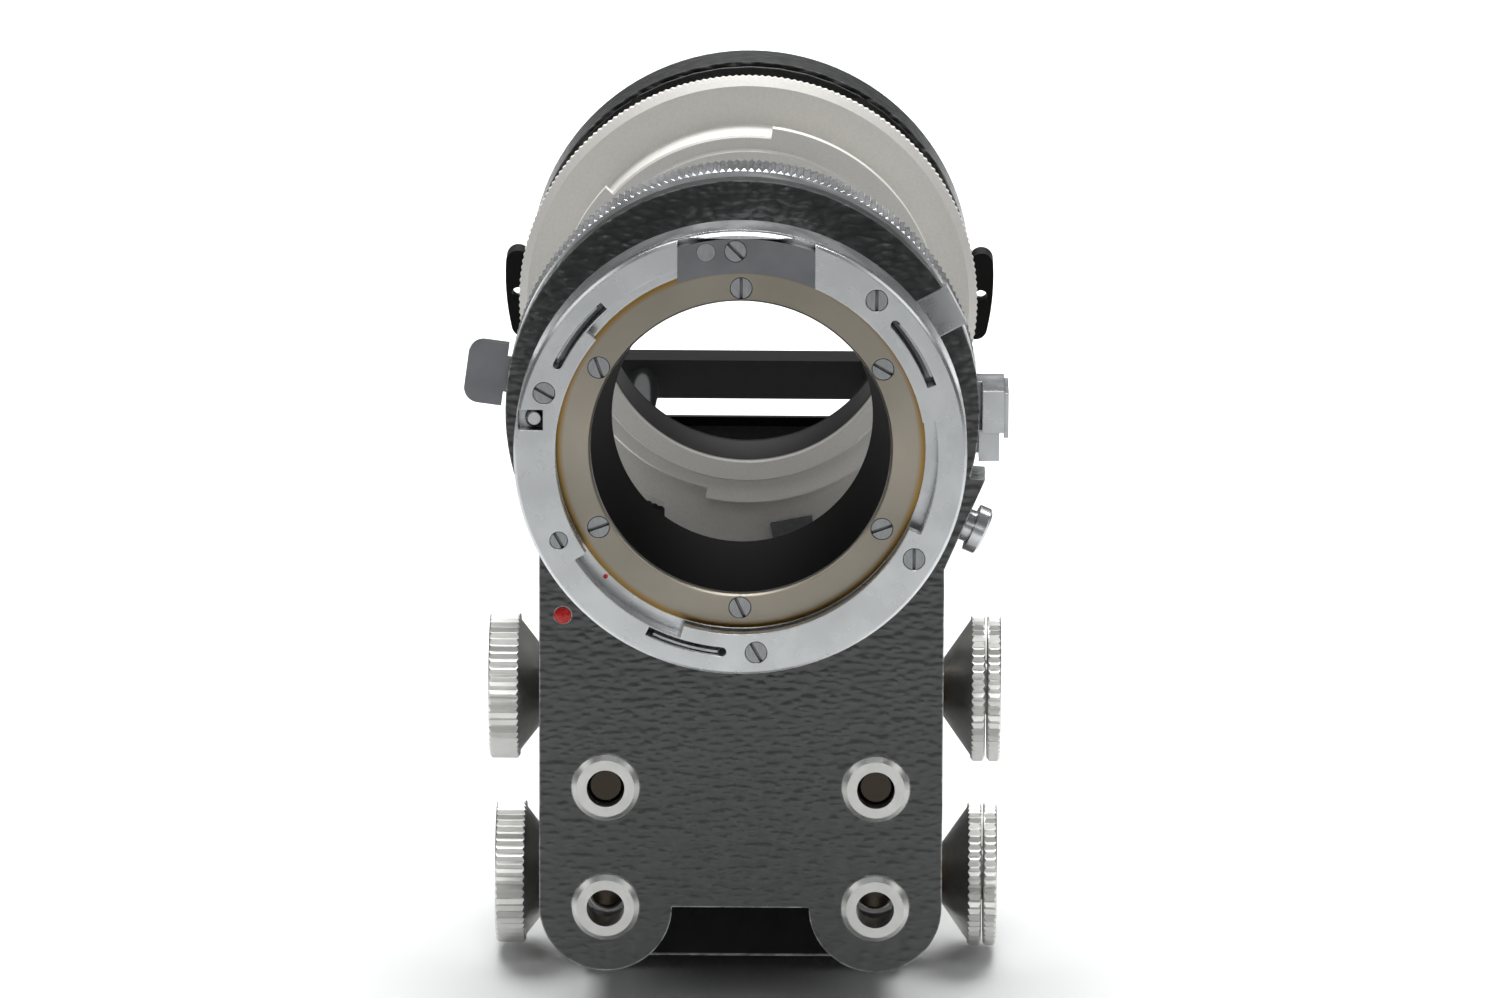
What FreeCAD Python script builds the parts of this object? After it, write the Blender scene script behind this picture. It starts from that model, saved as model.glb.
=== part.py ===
import FreeCAD, Part
import math
import os
import re

import Sketcher

# Macro bellows unit. A tripod block stands on its foot and guides two pairs of rods.
# The upper rods carry the lens carriage, the lower rods carry the camera carriage,
# and each pair is driven by its own rack and pinion. The bellows is folded against
# the camera standard, as it is stored, with its front frame undocked.
#
# Sizes are millimetres. Depths are counted backwards from the front face of the lens
# flange and heights upwards from the optical axis. The part's origin is the mouth of
# the tripod socket: X to the right, Y backwards, Z up.

doc = FreeCAD.newDocument("MacroBellows")
sheet = doc.addObject("Spreadsheet::Sheet", "Sizes")

SIZES = (
    # Layout of the whole unit
    ("axis_height", 95.0, "optical axis above the table"),
    ("socket_depth", 95.0, "tripod socket behind the flange face"),
    ("rod_offset", 19.64, "rod axis to either side of the centre"),
    ("upper_rod_drop", 55.9, "upper rods below the optical axis"),
    ("lower_rod_drop", 73.9, "lower rods below the optical axis"),
    ("rod_diameter", 5.4, "ground steel rods"),
    ("rod_clearance", 0.05, "running fit of a rod in a bush, on the radius"),
    ("turn_clearance", 0.05, "running fit of turning pieces, on the radius"),
    ("body_gap", 0.3, "air between pieces that move past each other"),
    # Lens flange and throat
    ("flange_radius", 32.2, "outside of the lens flange"),
    ("flange_rim", 8.6, "depth of the flange's rim"),
    ("flange_bore", 26.3, "radius inside the flange"),
    ("flange_lip", 1.8, "thickness of the lip that holds the lens lugs"),
    ("lug_radius", 28.1, "radius of the lug cuts and of the space behind the lip"),
    ("neck_radius", 28.0, "outside of the neck between flange and plate"),
    ("neck_bore", 24.6, "inside of the neck"),
    ("rim_line_depth", 1.5, "first turned line behind the flange face"),
    ("rim_line_width", 0.5, "width of a turned line"),
    ("throat_depth", 4.0, "throat ring behind the flange face"),
    ("throat_thickness", 1.6, "throat ring"),
    ("throat_bore", 21.4, "radius inside the throat ring"),
    ("throat_screw_circle", 23.3, "radius of the six throat screws"),
    ("throat_screw_count", 6, "screws in the throat ring"),
    ("ledge_depth", 3.4, "ledge behind the throat ring"),
    ("baffle_wall", 1.0, "wall of the light baffle"),
    ("baffle_end_radius", 18.8, "mouth of the baffle at its far end"),
    ("baffle_end_depth", 25.5, "far end of the baffle behind the flange face"),
    # Fasteners
    ("screw_head", 1.5, "radius of the small slotted heads"),
    ("seat_gap", 0.1, "air round a screw's head in its seat"),
    ("screw_head_height", 1.0, "height of the small heads"),
    ("screw_shank", 0.8, "radius of the small screws' shanks"),
    ("screw_length", 2.4, "length of the small screws' shanks"),
    ("screw_slot", 0.45, "width of a driver slot"),
    ("screw_slot_depth", 0.5, "depth of a driver slot"),
    ("pilot_head", 1.2, "radius of the smallest screw head"),
    # Flange face
    ("insert_left", 9.0, "inlaid segment, left of the centre"),
    ("insert_right", 10.5, "inlaid segment, right of the centre"),
    ("insert_thickness", 1.7, "inlaid segment"),
    ("dowel_radius", 1.3, "dowel of the inlaid segment"),
    ("slot_inner", 28.3, "inner radius of the spring slots"),
    ("slot_outer", 29.6, "outer radius of the spring slots"),
    ("slot_depth", 3.6, "depth of the spring slots"),
    ("spring_strip", 0.4, "thickness of the bayonet springs"),
    ("spring_height", 2.4, "height of the bayonet springs"),
    ("pin_circle", 29.65, "lock pin from the optical axis"),
    ("pin_radius", 1.2, "lock pin"),
    ("pin_pocket_width", 3.0, "pocket in the flange for the lock pin"),
    ("pin_recess", 1.0, "lock pin behind the flange face"),
    # Lens plate
    ("plate_depth", 26.4, "face of the lens plate behind the flange face"),
    ("plate_thickness", 3.2, "lens plate"),
    ("plate_radius", 34.2, "round head of the lens plate"),
    ("lobe_radius", 9.67, "lobes round the lower bushes"),
    ("bush_radius", 4.9, "outside of the bushes in the lens plate"),
    ("bush_proud", 1.0, "bushes in front of the plate"),
    ("bush_bevel", 0.7, "bevel of the bushes"),
    ("bush_length", 5.4, "bushes of the lens plate"),
    ("rod_recess", 2.0, "ends of the upper rods inside their bushes"),
    ("bead_radius", 1.25, "red lens index"),
    ("bead_x", -25.9, "lens index sideways"),
    ("bead_z", -30.2, "lens index below the optical axis"),
    ("clip_width", 6.2, "aperture index clip"),
    ("clip_thickness", 0.6, "aperture index clip"),
    ("clip_angle", 28.0, "aperture index clip round the axis, in degrees"),
    ("clip_inner", 28.6, "inner end of the clip"),
    # Collar and coupling ring behind the lens plate
    ("collar_radius", 34.0, "smooth chrome collar"),
    ("collar_length", 5.0, "smooth chrome collar"),
    ("sleeve_radius", 30.2, "sleeve that the coupling ring turns on"),
    ("sleeve_bore", 29.1, "inside of the sleeve, which takes the front frame's lugs"),
    ("sleeve_seat", 24.8, "inner radius of the sleeve's seat on the plate"),
    ("sleeve_seat_thickness", 1.6, "seat of the sleeve"),
    ("sleeve_end_depth", 45.0, "back of the sleeve behind the flange face"),
    ("sleeve_rim", 1.4, "rim that keeps the coupling ring on"),
    ("sleeve_rim_radius", 31.8, "rim that keeps the coupling ring on"),
    ("sleeve_screw_circle", 26.7, "radius of the sleeve's screws"),
    ("ring_radius", 34.0, "tips of the coupling ring's knurl"),
    ("ring_ribs", 200, "ribs of the coupling ring"),
    ("ring_rib_depth", 0.45, "depth of the coupling ring's knurl"),
    ("catch_width", 4.6, "coupling ring's catch, radially"),
    ("catch_low", -8.0, "lower end of the catch"),
    ("catch_high", 2.6, "upper end of the catch"),
    # Release lever and cable release
    ("lever_angle", 172.4, "release lever round the axis, in degrees"),
    ("lever_reach", 40.3, "outer end of the release lever"),
    ("lever_width", 9.2, "finger tab of the release lever"),
    ("lever_arm", 5.0, "arm of the release lever inside the collar"),
    ("lever_thickness", 1.6, "release lever"),
    ("lever_travel", 2.4, "pull of the release lever"),
    ("socket_angle", -23.4, "cable socket's axis below the horizontal, in degrees"),
    ("socket_x", 31.8, "middle of the oblique boss face, sideways"),
    ("socket_z", -17.3, "middle of the oblique boss face, below the axis"),
    ("socket_radius", 3.5, "cable socket"),
    ("socket_proud", 3.6, "cable socket in front of the boss"),
    ("socket_bore", 1.6, "threaded mouth of the cable socket"),
    ("socket_bore_depth", 3.0, "threaded mouth of the cable socket"),
    ("plunger_radius", 0.8, "plunger behind the cable socket's mouth"),
    ("plunger_travel", 2.0, "travel of the plunger"),
    # Rods, racks and tail bar
    ("tail_depth", 292.0, "front of the tail bar"),
    ("tail_thickness", 8.0, "tail bar"),
    ("tail_height", 6.6, "tail bar"),
    ("tail_rise", 0.6, "middle of the tail bar above the upper rods"),
    ("tail_end", 4.6, "tail bar beyond the rods' axes"),
    ("tail_spigot", 1.8, "turned-down ends of the upper rods"),
    ("lower_rod_front", 34.0, "front end of the lower rods"),
    ("rack_module", 0.6, "module of both racks and pinions"),
    ("rack_flat", 0.3, "flat above the rack's teeth"),
    ("tooth_backlash", 0.16, "side play of the teeth"),
    ("upper_teeth", 25, "teeth of the upper pinion"),
    ("lower_teeth", 23, "teeth of the lower pinion"),
    ("gear_width", 6.0, "toothed part of the pinions"),
    ("upper_pinion_depth", 50.0, "upper pinion behind the flange face"),
    ("lower_pinion_depth", 78.0, "lower pinion behind the flange face"),
    ("upper_rack_start", 38.0, "front of the upper rack"),
    ("upper_rack_end", 176.0, "back of the upper rack"),
    ("lower_rack_end", 92.0, "back of the lower rack"),
    ("shaft_radius", 2.5, "pinion shafts"),
    # Knobs
    ("knob_radius", 10.87, "tips of the knobs' knurl"),
    ("knob_ribs", 56, "ribs round a knob"),
    ("knob_rib_depth", 0.4, "depth of the knobs' knurl"),
    ("knob_start", 29.5, "inner end of the knobs from the centre"),
    ("left_grip_start", 32.7, "left grip from the centre"),
    ("left_grip", 4.5, "width of the left grip"),
    ("right_grip_start", 33.5, "right grip from the centre"),
    ("right_grip", 2.1, "width of the right grip"),
    ("lock_ring_gap", 0.3, "air between right grip and lock ring"),
    ("lock_ring", 2.0, "width of the lock ring"),
    ("left_cone_large", 9.7, "large end of the left knob's cone"),
    ("left_cone_small", 5.6, "small end of the left knob's cone"),
    ("right_cone_large", 10.0, "large end of the right knob's cone"),
    ("right_cone_small", 4.3, "small end of the right knob's cone"),
    ("hub_radius", 4.0, "hub that the lock ring turns on"),
    ("cap_radius", 5.0, "caps in the ends of the knobs"),
    ("dish_radius", 5.2, "dish in the left knob"),
    ("lock_dish", 5.6, "dish in the lock ring"),
    # Tripod block
    ("block_front", 40.0, "front of the block behind the flange face"),
    ("block_back", 108.0, "back of the block behind the flange face"),
    ("block_half", 26.0, "half the width of the block"),
    ("block_top", -41.5, "top of the block, from the optical axis"),
    ("block_waist", -64.9, "step between the block's upper and lower halves"),
    ("nose_bottom", -85.0, "underside of the block's nose"),
    ("keel_front", 66.6, "front of the block's deeper part"),
    ("keel_bottom", -91.5, "underside of the block's deeper part"),
    ("block_wall", 3.0, "walls of the block casting"),
    ("block_bush_radius", 4.5, "outside of the bushes in the block"),
    ("block_bush_length", 3.2, "bushes in the block"),
    ("bearing_radius", 4.2, "bearings of the pinion shafts"),
    ("bearing_boss", 5.0, "bosses of the block round its bearings"),
    ("bearing_end", 28.9, "outer end of the shaft bearings from the centre"),
    ("label_half", 14.0, "half the width of the blank label plate"),
    ("label_top", -75.5, "top of the label plate"),
    ("label_bottom", -84.6, "bottom of the label plate"),
    ("label_thickness", 0.6, "label plate"),
    ("cover_thickness", 1.6, "gear cover on top of the block"),
    ("hump_wall", 1.2, "wall of the cover's hump over the upper gear"),
    ("gear_air", 0.4, "air round a gear's tips"),
    # Foot
    ("foot_front", 77.0, "front of the foot behind the flange face"),
    ("foot_back", 150.0, "back of the foot behind the flange face"),
    ("foot_half", 22.0, "half the width of the foot"),
    ("foot_corner", 5.0, "corner radius of the foot"),
    ("foot_screw", 2.4, "radius of the foot screws' heads"),
    ("foot_screw_side", 15.0, "foot screws to either side of the centre"),
    ("foot_screw_front", 4.0, "front foot screws before the tripod socket"),
    ("foot_screw_back", 9.5, "back foot screws behind the tripod socket"),
    ("tripod_bush_radius", 5.6, "outside of the tripod bush"),
    ("tripod_bore", 2.6, "core radius of the quarter-inch tripod thread"),
    ("tripod_bore_depth", 9.0, "tripod thread"),
    ("stop_bore", 2.2, "anti-twist hole beside the tripod thread"),
    ("stop_spacing", 20.5, "anti-twist hole behind the tripod thread"),
    # Camera standard
    ("standard_depth", 118.0, "front of the camera standard"),
    ("standard_thickness", 9.0, "camera standard"),
    ("standard_half", 27.0, "half the width of the camera standard"),
    ("head_radius", 33.6, "round head of the camera standard"),
    ("standard_bush_radius", 4.6, "bushes in the camera standard"),
    ("ear_reach", 37.2, "outer end of the strap ears"),
    ("ear_top", 3.0, "upper end of a strap ear round the axis, in degrees"),
    ("ear_sweep", 16.0, "strap ears round the axis, in degrees"),
    ("ear_thickness", 5.0, "strap ears along the optical axis"),
    ("ear_eye", 1.0, "radius of the eye in a strap ear"),
    # Camera ring
    ("mount_radius", 32.6, "outside of the camera ring"),
    ("mount_length", 5.0, "camera ring behind the standard"),
    ("mount_journal", 30.4, "journal of the camera ring in the standard"),
    ("mount_bore", 29.0, "opening of the camera ring"),
    ("adapter_seat", 30.3, "seat of a camera's adapter in the ring"),
    ("adapter_seat_depth", 2.0, "seat of a camera's adapter in the ring"),
    ("retainer_width", 1.2, "retainer outside the ring's journal"),
    ("retainer_depth", 1.6, "seat of the retainer in the standard"),
    ("thumb_radius", 4.2, "thumb screw that locks the camera ring"),
    ("thumb_length", 7.0, "thumb screw that locks the camera ring"),
    ("thumb_stem", 1.5, "stem of the thumb screw"),
    ("thumb_stem_depth", 6.0, "thumb screw inside the standard"),
    ("thumb_washer", 7.2, "washer that presses on the camera ring"),
    ("thumb_drop", 6.4, "thumb screw's axis outside the camera ring"),
    # Bellows and its front frame
    ("frame_face_depth", 100.5, "grey face of the front frame"),
    ("frame_thickness", 2.6, "front frame"),
    ("frame_radius", 34.2, "grey face of the front frame"),
    ("frame_bevel", 0.9, "bevel round the front frame's face"),
    ("frame_bore", 22.0, "opening of the front frame"),
    ("frame_lip", 25.2, "lip inside the lugs of the front frame"),
    ("frame_step_outer", 28.8, "lugs of the front frame's bayonet"),
    ("frame_lug_sweep", 65.0, "lugs of the front frame round the axis, in degrees"),
    ("frame_step_inner", 27.5, "collar of the front frame's bayonet"),
    ("frame_nose_depth", 91.0, "front end of the front frame's collar"),
    ("rim_radius", 34.6, "knurled rim of the front frame"),
    ("rim_ribs", 220, "ribs of the front frame's rim"),
    ("rim_rib_depth", 0.25, "depth of the rim's knurl"),
    ("rim_seat", 1.6, "knurled rim, radially"),
    ("lobe_left", 12.5, "lobe under the front frame, left of the centre"),
    ("lobe_right", 13.5, "lobe under the front frame, right of the centre"),
    ("lobe_drop", 38.6, "bottom of the lobe below the optical axis"),
    ("lobe_corner", 3.0, "rounded corners of the lobe"),
    ("fold_outer", 28.6, "bellows folds, outer half width"),
    ("fold_inner", 24.0, "bellows folds, inner half width"),
    ("fold_corner", 9.2, "bevelled corners of the bellows"),
    ("mask_half", 21.4, "eight-sided opening behind the bellows, half width"),
    ("mask_corner", 7.1, "bevelled corners of that opening"),
    ("fold_wall", 0.7, "bellows cloth"),
    ("fold_count", 8, "folds of the bellows"),
    ("latch_angle", -78.7, "front frame's latch round the axis, in degrees"),
    ("latch_inner", 34.0, "inner end of the latch from the optical axis"),
    ("latch_outer", 38.2, "outer end of the latch from the optical axis"),
    ("latch_width", 6.4, "front frame's latch"),
    ("latch_thickness", 1.4, "front frame's latch"),
    ("latch_travel", 1.2, "travel of the front frame's latch"),
)

for row, (name, value, words) in enumerate(SIZES, start=1):
    sheet.set(f"A{row}", str(value))
    sheet.setAlias(f"A{row}", name)
    sheet.set(f"B{row}", words)
doc.recompute()

NAMES = {name for name, value, words in SIZES}
WORD = re.compile(r"[a-z]\w*")


def size(name):
    """A size from the sheet as a number."""
    return float(getattr(sheet, name))


def link(text):
    """An expression with each size's name turned into a reference to its cell."""
    return WORD.sub(lambda m: "Sizes." + m.group() if m.group() in NAMES else m.group(), str(text))


def number(text):
    """The value that an expression of sizes has now."""
    return float(sheet.evalExpression(str(text)))


# Shape helpers
# Every position below is in the lens flange's frame: x from the centre, depth behind
# the flange face, z from the optical axis.

VECTOR = FreeCAD.Vector
BACKWARDS = FreeCAD.Rotation(VECTOR(1, 0, 0), -90)
FORWARDS = FreeCAD.Rotation(VECTOR(1, 0, 0), 90)
RIGHT = FreeCAD.Rotation(VECTOR(0, 1, 0), 90)
LEFT = FreeCAD.Rotation(VECTOR(0, 1, 0), -90)
UP = FreeCAD.Rotation()
ROD_RADIUS = "(rod_diameter / 2)"
BORE_RADIUS = "(rod_diameter / 2 + rod_clearance)"
SIDES = (("left", -1), ("right", 1))
nodes = []


def put(shape, x, depth, z, turn=UP):
    """Places an object by expressions in the flange's frame."""
    shape.Placement = FreeCAD.Placement(VECTOR(), turn)
    shape.setExpression(".Placement.Base.x", link(x))
    shape.setExpression(".Placement.Base.y", link(f"({depth}) - socket_depth"))
    shape.setExpression(".Placement.Base.z", link(f"({z}) + axis_height"))
    return shape


def make(kind, name, **properties):
    """A Part primitive whose properties follow expressions."""
    shape = doc.addObject(kind, name)
    for key, text in properties.items():
        shape.setExpression(key, link(text))
    return shape


def rod(name, radius, length, x, depth, z, turn=BACKWARDS):
    """A cylinder that starts at a point and runs along turn's direction."""
    return put(make("Part::Cylinder", name, Radius=radius, Height=length), x, depth, z, turn)


def slab(name, left, right, front, back, low, high):
    """A box between its limits."""
    shape = make("Part::Box", name, Length=f"({right}) - ({left})",
                 Width=f"({back}) - ({front})", Height=f"({high}) - ({low})")
    return put(shape, left, front, low)


def sector(name, inner, outer, start, sweep, front, back):
    """A ring segment round the optical axis, from the angle start through sweep."""
    turn = FORWARDS.multiply(FreeCAD.Rotation(VECTOR(0, 0, 1), start))
    parts = []
    for word, radius in (("outer", outer), ("inner", inner)):
        shape = make("Part::Cylinder", f"{name}_{word}", Radius=radius,
                     Height=f"({back}) - ({front})")
        shape.Angle = sweep
        parts.append(put(shape, "0", back, "0", turn))
    return cut(name, parts[0], parts[1])


def fuse(name, *shapes):
    """Several shapes as one solid."""
    whole = doc.addObject("Part::MultiFuse", name)
    whole.Shapes = list(shapes)
    return whole


def cut(name, base, *tools):
    """A shape less its cutting tools."""
    result = doc.addObject("Part::Cut", name)
    result.Base = base
    result.Tool = tools[0] if len(tools) == 1 else fuse(f"{name}_tools", *tools)
    return result


def group(name, shapes):
    """Like pieces that stay separate solids in one node."""
    whole = doc.addObject("Part::Compound", name)
    whole.Links = list(shapes)
    return whole


def sketch_on(body, plane, name, outline):
    """A closed sketch whose corners follow pairs of expressions."""
    sketch = body.newObject("Sketcher::SketchObject", name)
    origin = [o for o in body.Origin.OriginFeatures if o.Role == plane][0]
    sketch.AttachmentSupport = [(origin, "")]
    sketch.MapMode = "FlatFace"
    corners = [(number(u), number(v)) for u, v in outline]
    count = len(corners)
    for i, (u, v) in enumerate(corners):
        end = corners[(i + 1) % count]
        sketch.addGeometry(Part.LineSegment(VECTOR(u, v, 0), VECTOR(end[0], end[1], 0)))
    for i in range(count):
        sketch.addConstraint(Sketcher.Constraint("Coincident", i, 2, (i + 1) % count, 1))
    for i, (u, v) in enumerate(outline):
        for kind, text, value in (("DistanceX", u, corners[i][0]), ("DistanceY", v, corners[i][1])):
            index = sketch.addConstraint(Sketcher.Constraint(kind, -1, 1, i, 1, value))
            sketch.setExpression(f"Constraints[{index}]", link(text))
    return sketch


def turned(name, outline, x="0", depth="0", z="0", turn=UP):
    """A turned piece: outline gives (radius, distance along the axis) pairs."""
    body = doc.addObject("PartDesign::Body", name)
    sketch = sketch_on(body, "XY_Plane", f"{name}_outline", outline)
    revolve = body.newObject("PartDesign::Revolution", f"{name}_turning")
    revolve.Profile = sketch
    revolve.ReferenceAxis = (sketch, ["V_Axis"])
    revolve.Angle = 360
    return put(body, x, depth, z, turn)


def plate(name, outline, front, back):
    """A flat piece: outline gives (x, z) pairs, and it runs from front to back."""
    body = doc.addObject("PartDesign::Body", name)
    sketch = sketch_on(body, "XZ_Plane", f"{name}_outline", outline)
    pad = body.newObject("PartDesign::Pad", f"{name}_pad")
    pad.Profile = sketch
    pad.setExpression("Length", link(f"({back}) - ({front})"))
    return put(body, "0", back, "0")


def extruded(name, points, direction, length, x, depth, z, turn=UP):
    """A many-cornered outline, given as points, extruded along direction."""
    face = doc.addObject("Part::Feature", f"{name}_outline")
    face.Shape = Part.Face(Part.makePolygon(points + points[:1]))
    shape = doc.addObject("Part::Extrusion", name)
    shape.Base = face
    shape.DirMode = "Custom"
    shape.Dir = direction
    shape.setExpression("LengthFwd", link(length))
    shape.Solid = True
    return put(shape, x, depth, z, turn)


def ribbed(name, radius, rib_depth, ribs, length, x, depth, z, turn):
    """A knurled disc: a star outline with as many points as ribs, along turn."""
    tip = number(radius)
    root = number(f"{radius} - {rib_depth}")
    count = int(number(ribs))
    points = []
    for i in range(2 * count):
        reach = tip if i % 2 == 0 else root
        angle = math.pi * i / count
        points.append(VECTOR(reach * math.cos(angle), reach * math.sin(angle), 0))
    return extruded(name, points, VECTOR(0, 0, 1), length, x, depth, z, turn)


def slotted_screw(name, head, x, depth, z, turn, slot_angle):
    """A flush slotted screw whose head's face is at the given point."""
    parts = [
        rod(f"{name}_head", head, "screw_head_height", x, depth, z, turn),
        rod(f"{name}_shank", "screw_shank", "screw_head_height + screw_length", x, depth, z, turn),
    ]
    slot = make("Part::Box", f"{name}_slot", Length=f"4 * ({head})", Width="screw_slot",
                Height="2 * screw_slot_depth")
    lift = FreeCAD.Placement(VECTOR(-2 * number(head), -size("screw_slot") / 2,
                                    -size("screw_slot_depth")), UP)
    spin = FreeCAD.Placement(VECTOR(), turn.multiply(FreeCAD.Rotation(VECTOR(0, 0, 1), slot_angle)))
    slot.Placement = spin.multiply(lift)
    corner = slot.Placement.Base
    across = FreeCAD.Placement(VECTOR(), spin.Rotation)
    u = across.multVec(VECTOR(1, 0, 0))
    v = across.multVec(VECTOR(0, 1, 0))
    w = across.multVec(VECTOR(0, 0, 1))
    for key, place, off in (("x", x, ""), ("y", depth, " - socket_depth"), ("z", z, " + axis_height")):
        text = (f"({place}){off} - 2 * ({head}) * ({getattr(u, key):.9f})"
                f" - screw_slot / 2 * ({getattr(v, key):.9f})"
                f" - screw_slot_depth * ({getattr(w, key):.9f})")
        slot.setExpression(f".Placement.Base.{key}", link(text))
    return cut(name, fuse(f"{name}_blank", *parts), slot)


def polar(radius, angle):
    """Expressions for x and z of a point round the optical axis."""
    return f"({radius}) * cos({angle})", f"({radius}) * sin({angle})"


def node(name, shape):
    """Names a finished sub-part, which is exported under that name."""
    shape.Label = name
    nodes.append(shape)
    return shape


# Lens flange
# A chromed steel ring with a deep rim, a neck that passes through the lens plate and
# an inner ledge. Three lug cuts, three spring slots and a pin pocket open its face.
CUTS = (("a", -24, 34.5, 28.5, 13.5), ("b", 104.5, 36.5, 140, 14.5), ("c", 213.5, 39, 251, 15))
flange = turned("flange_blank", (
    ("flange_bore", "0"), ("flange_radius - 0.4", "0"), ("flange_radius", "0.4"),
    ("flange_radius", "rim_line_depth"),
    ("flange_radius - 0.25", "rim_line_depth"),
    ("flange_radius - 0.25", "rim_line_depth + rim_line_width"),
    ("flange_radius", "rim_line_depth + rim_line_width"),
    ("flange_radius", "flange_rim"), ("neck_radius", "flange_rim"),
    ("neck_radius", "plate_depth + plate_thickness"),
    ("neck_bore", "plate_depth + plate_thickness"),
    ("neck_bore", "throat_depth + throat_thickness + ledge_depth"),
    ("throat_bore + baffle_wall", "throat_depth + throat_thickness + ledge_depth"),
    ("throat_bore + baffle_wall", "throat_depth + throat_thickness"),
    ("flange_bore", "throat_depth + throat_thickness")))
openings = [
    sector(f"lug_cut_{key}", "flange_bore - 1", "lug_radius", start, sweep, "-1", "throat_depth")
    for key, start, sweep, slot, slot_sweep in CUTS]
SLOT_MIDDLE = "(slot_inner + slot_outer) / 2"
for key, start, sweep, slot, slot_sweep in CUTS:
    openings.append(sector(f"spring_slot_{key}", "slot_inner", "slot_outer", slot - 8,
                           slot_sweep + 7, "-1", "slot_depth"))
    x, z = polar(SLOT_MIDDLE, slot + slot_sweep - 1)
    openings.append(rod(f"spring_slot_end_{key}", "(slot_outer - slot_inner) / 2",
                        "slot_depth + 1", x, "-1", z))
openings.append(cut("lug_space", rod("lug_space_outer", "lug_radius",
                                     "throat_depth - flange_lip", "0", "flange_lip", "0"),
                    rod("lug_space_inner", "flange_bore - 1", "throat_depth", "0", "0", "0")))
pin_x, pin_z = polar("pin_circle", 170.6)
openings.append(rod("pin_hole", "pin_radius + turn_clearance", "flange_rim + 2",
                    pin_x, "-1", pin_z))
pocket = slab("pin_pocket", "-flange_radius + 0.7", "-slot_inner + 0.3", "-1", "pin_recess + 1.2",
              f"{pin_z} - pin_pocket_width / 2", f"{pin_z} + pin_pocket_width / 2")
openings.append(pocket)
openings.append(slab("insert_seat", "-insert_left", "insert_right", "-1", "insert_thickness",
                     "flange_bore - 3", "flange_radius - 0.9"))
FACE_SCREWS = ((49.5, 29.6, 90), (-31.3, 29.0, 90), (-85.3, 29.0, 60), (162.5, 29.2, 30))
SMALL_SCREW = (-153.8, 28.7, 60)
SEAT = "(screw_head + seat_gap)"
for i, (angle, reach, slot_angle) in enumerate(FACE_SCREWS):
    x, z = polar(reach, angle)
    openings.append(rod(f"face_screw_seat_{i}", SEAT, "screw_head_height", x, "0", z))
    openings.append(rod(f"face_screw_hole_{i}", "screw_shank",
                        "screw_head_height + screw_length", x, "0", z))
x, z = polar(SMALL_SCREW[1], SMALL_SCREW[0])
openings.append(rod("small_screw_seat", "pilot_head + seat_gap", "screw_head_height", x, "0", z))
openings.append(rod("small_screw_hole", "screw_shank", "screw_head_height + screw_length",
                    x, "0", z))
INSERT_SCREW = (91.5, 29.5, 45)
INSERT_PLUG = (99.6, 29.7)
x, z = polar(INSERT_SCREW[1], INSERT_SCREW[0])
openings.append(rod("insert_screw_hole", "screw_shank", "screw_head_height + screw_length",
                    x, "0", z))
for i in range(int(size("throat_screw_count"))):
    x, z = polar("throat_screw_circle", 90 + 360 * i / size("throat_screw_count"))
    openings.append(rod(f"throat_screw_thread_{i}", "screw_shank",
                        "screw_head_height + screw_length", x, "throat_depth", z))
SLEEVE_SCREW_ANGLES = (45, 135, 225, 315)
for i, angle in enumerate(SLEEVE_SCREW_ANGLES):
    x, z = polar("sleeve_screw_circle", angle)
    openings.append(rod(f"neck_thread_{i}", "screw_shank", "screw_length", x,
                        "plate_depth + plate_thickness", z, FORWARDS))
node("lens_flange", cut("flange", flange, *openings))

# Inlaid segment of the flange with its screw seat and dowel
inlay = doc.addObject("Part::MultiCommon", "inlay")
inlay.Shapes = [
    slab("inlay_block", "-insert_left", "insert_right", "0", "insert_thickness",
         "flange_bore - 3", "flange_radius - 0.9"),
    cut("inlay_ring",
        rod("inlay_outer", "flange_radius - 0.9", "insert_thickness", "0", "0", "0"),
        rod("inlay_inner", "flange_bore", "insert_thickness + 2", "0", "-1", "0"))]
x, z = polar(INSERT_SCREW[1], INSERT_SCREW[0])
plug_x, plug_z = polar(INSERT_PLUG[1], INSERT_PLUG[0])
node("flange_insert", cut(
    "inlay_drilled", inlay,
    rod("inlay_screw_seat", SEAT, "screw_head_height", x, "0", z),
    rod("inlay_screw_hole", "screw_shank", "insert_thickness + 1", x, "0", z),
    rod("inlay_dowel_hole", "dowel_radius + seat_gap / 2", "insert_thickness + 1", plug_x, "-0.5",
        plug_z)))
node("insert_dowel", rod("dowel", "dowel_radius", "insert_thickness", plug_x, "0", plug_z))

# Slotted screws of the flange face
screws = []
for i, (angle, reach, slot_angle) in enumerate(FACE_SCREWS + (INSERT_SCREW,)):
    x, z = polar(reach, angle)
    screws.append(slotted_screw(f"face_screw_{i}", "screw_head", x, "0", z, BACKWARDS, slot_angle))
node("flange_screws", group("face_screws", screws))
x, z = polar(SMALL_SCREW[1], SMALL_SCREW[0])
node("flange_small_screw", slotted_screw("small_screw", "pilot_head", x, "0", z, BACKWARDS,
                                         SMALL_SCREW[2]))

# Bayonet springs
# Three curved strips stand in the flange's slots and press on the lens's lugs.
strips = [
    sector(f"spring_{key}", "slot_outer - 0.1 - spring_strip", "slot_outer - 0.1", slot - 6,
           slot_sweep + 4, "slot_depth - spring_height", "slot_depth")
    for key, start, sweep, slot, slot_sweep in CUTS]
node("bayonet_springs", group("springs", strips))

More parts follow.
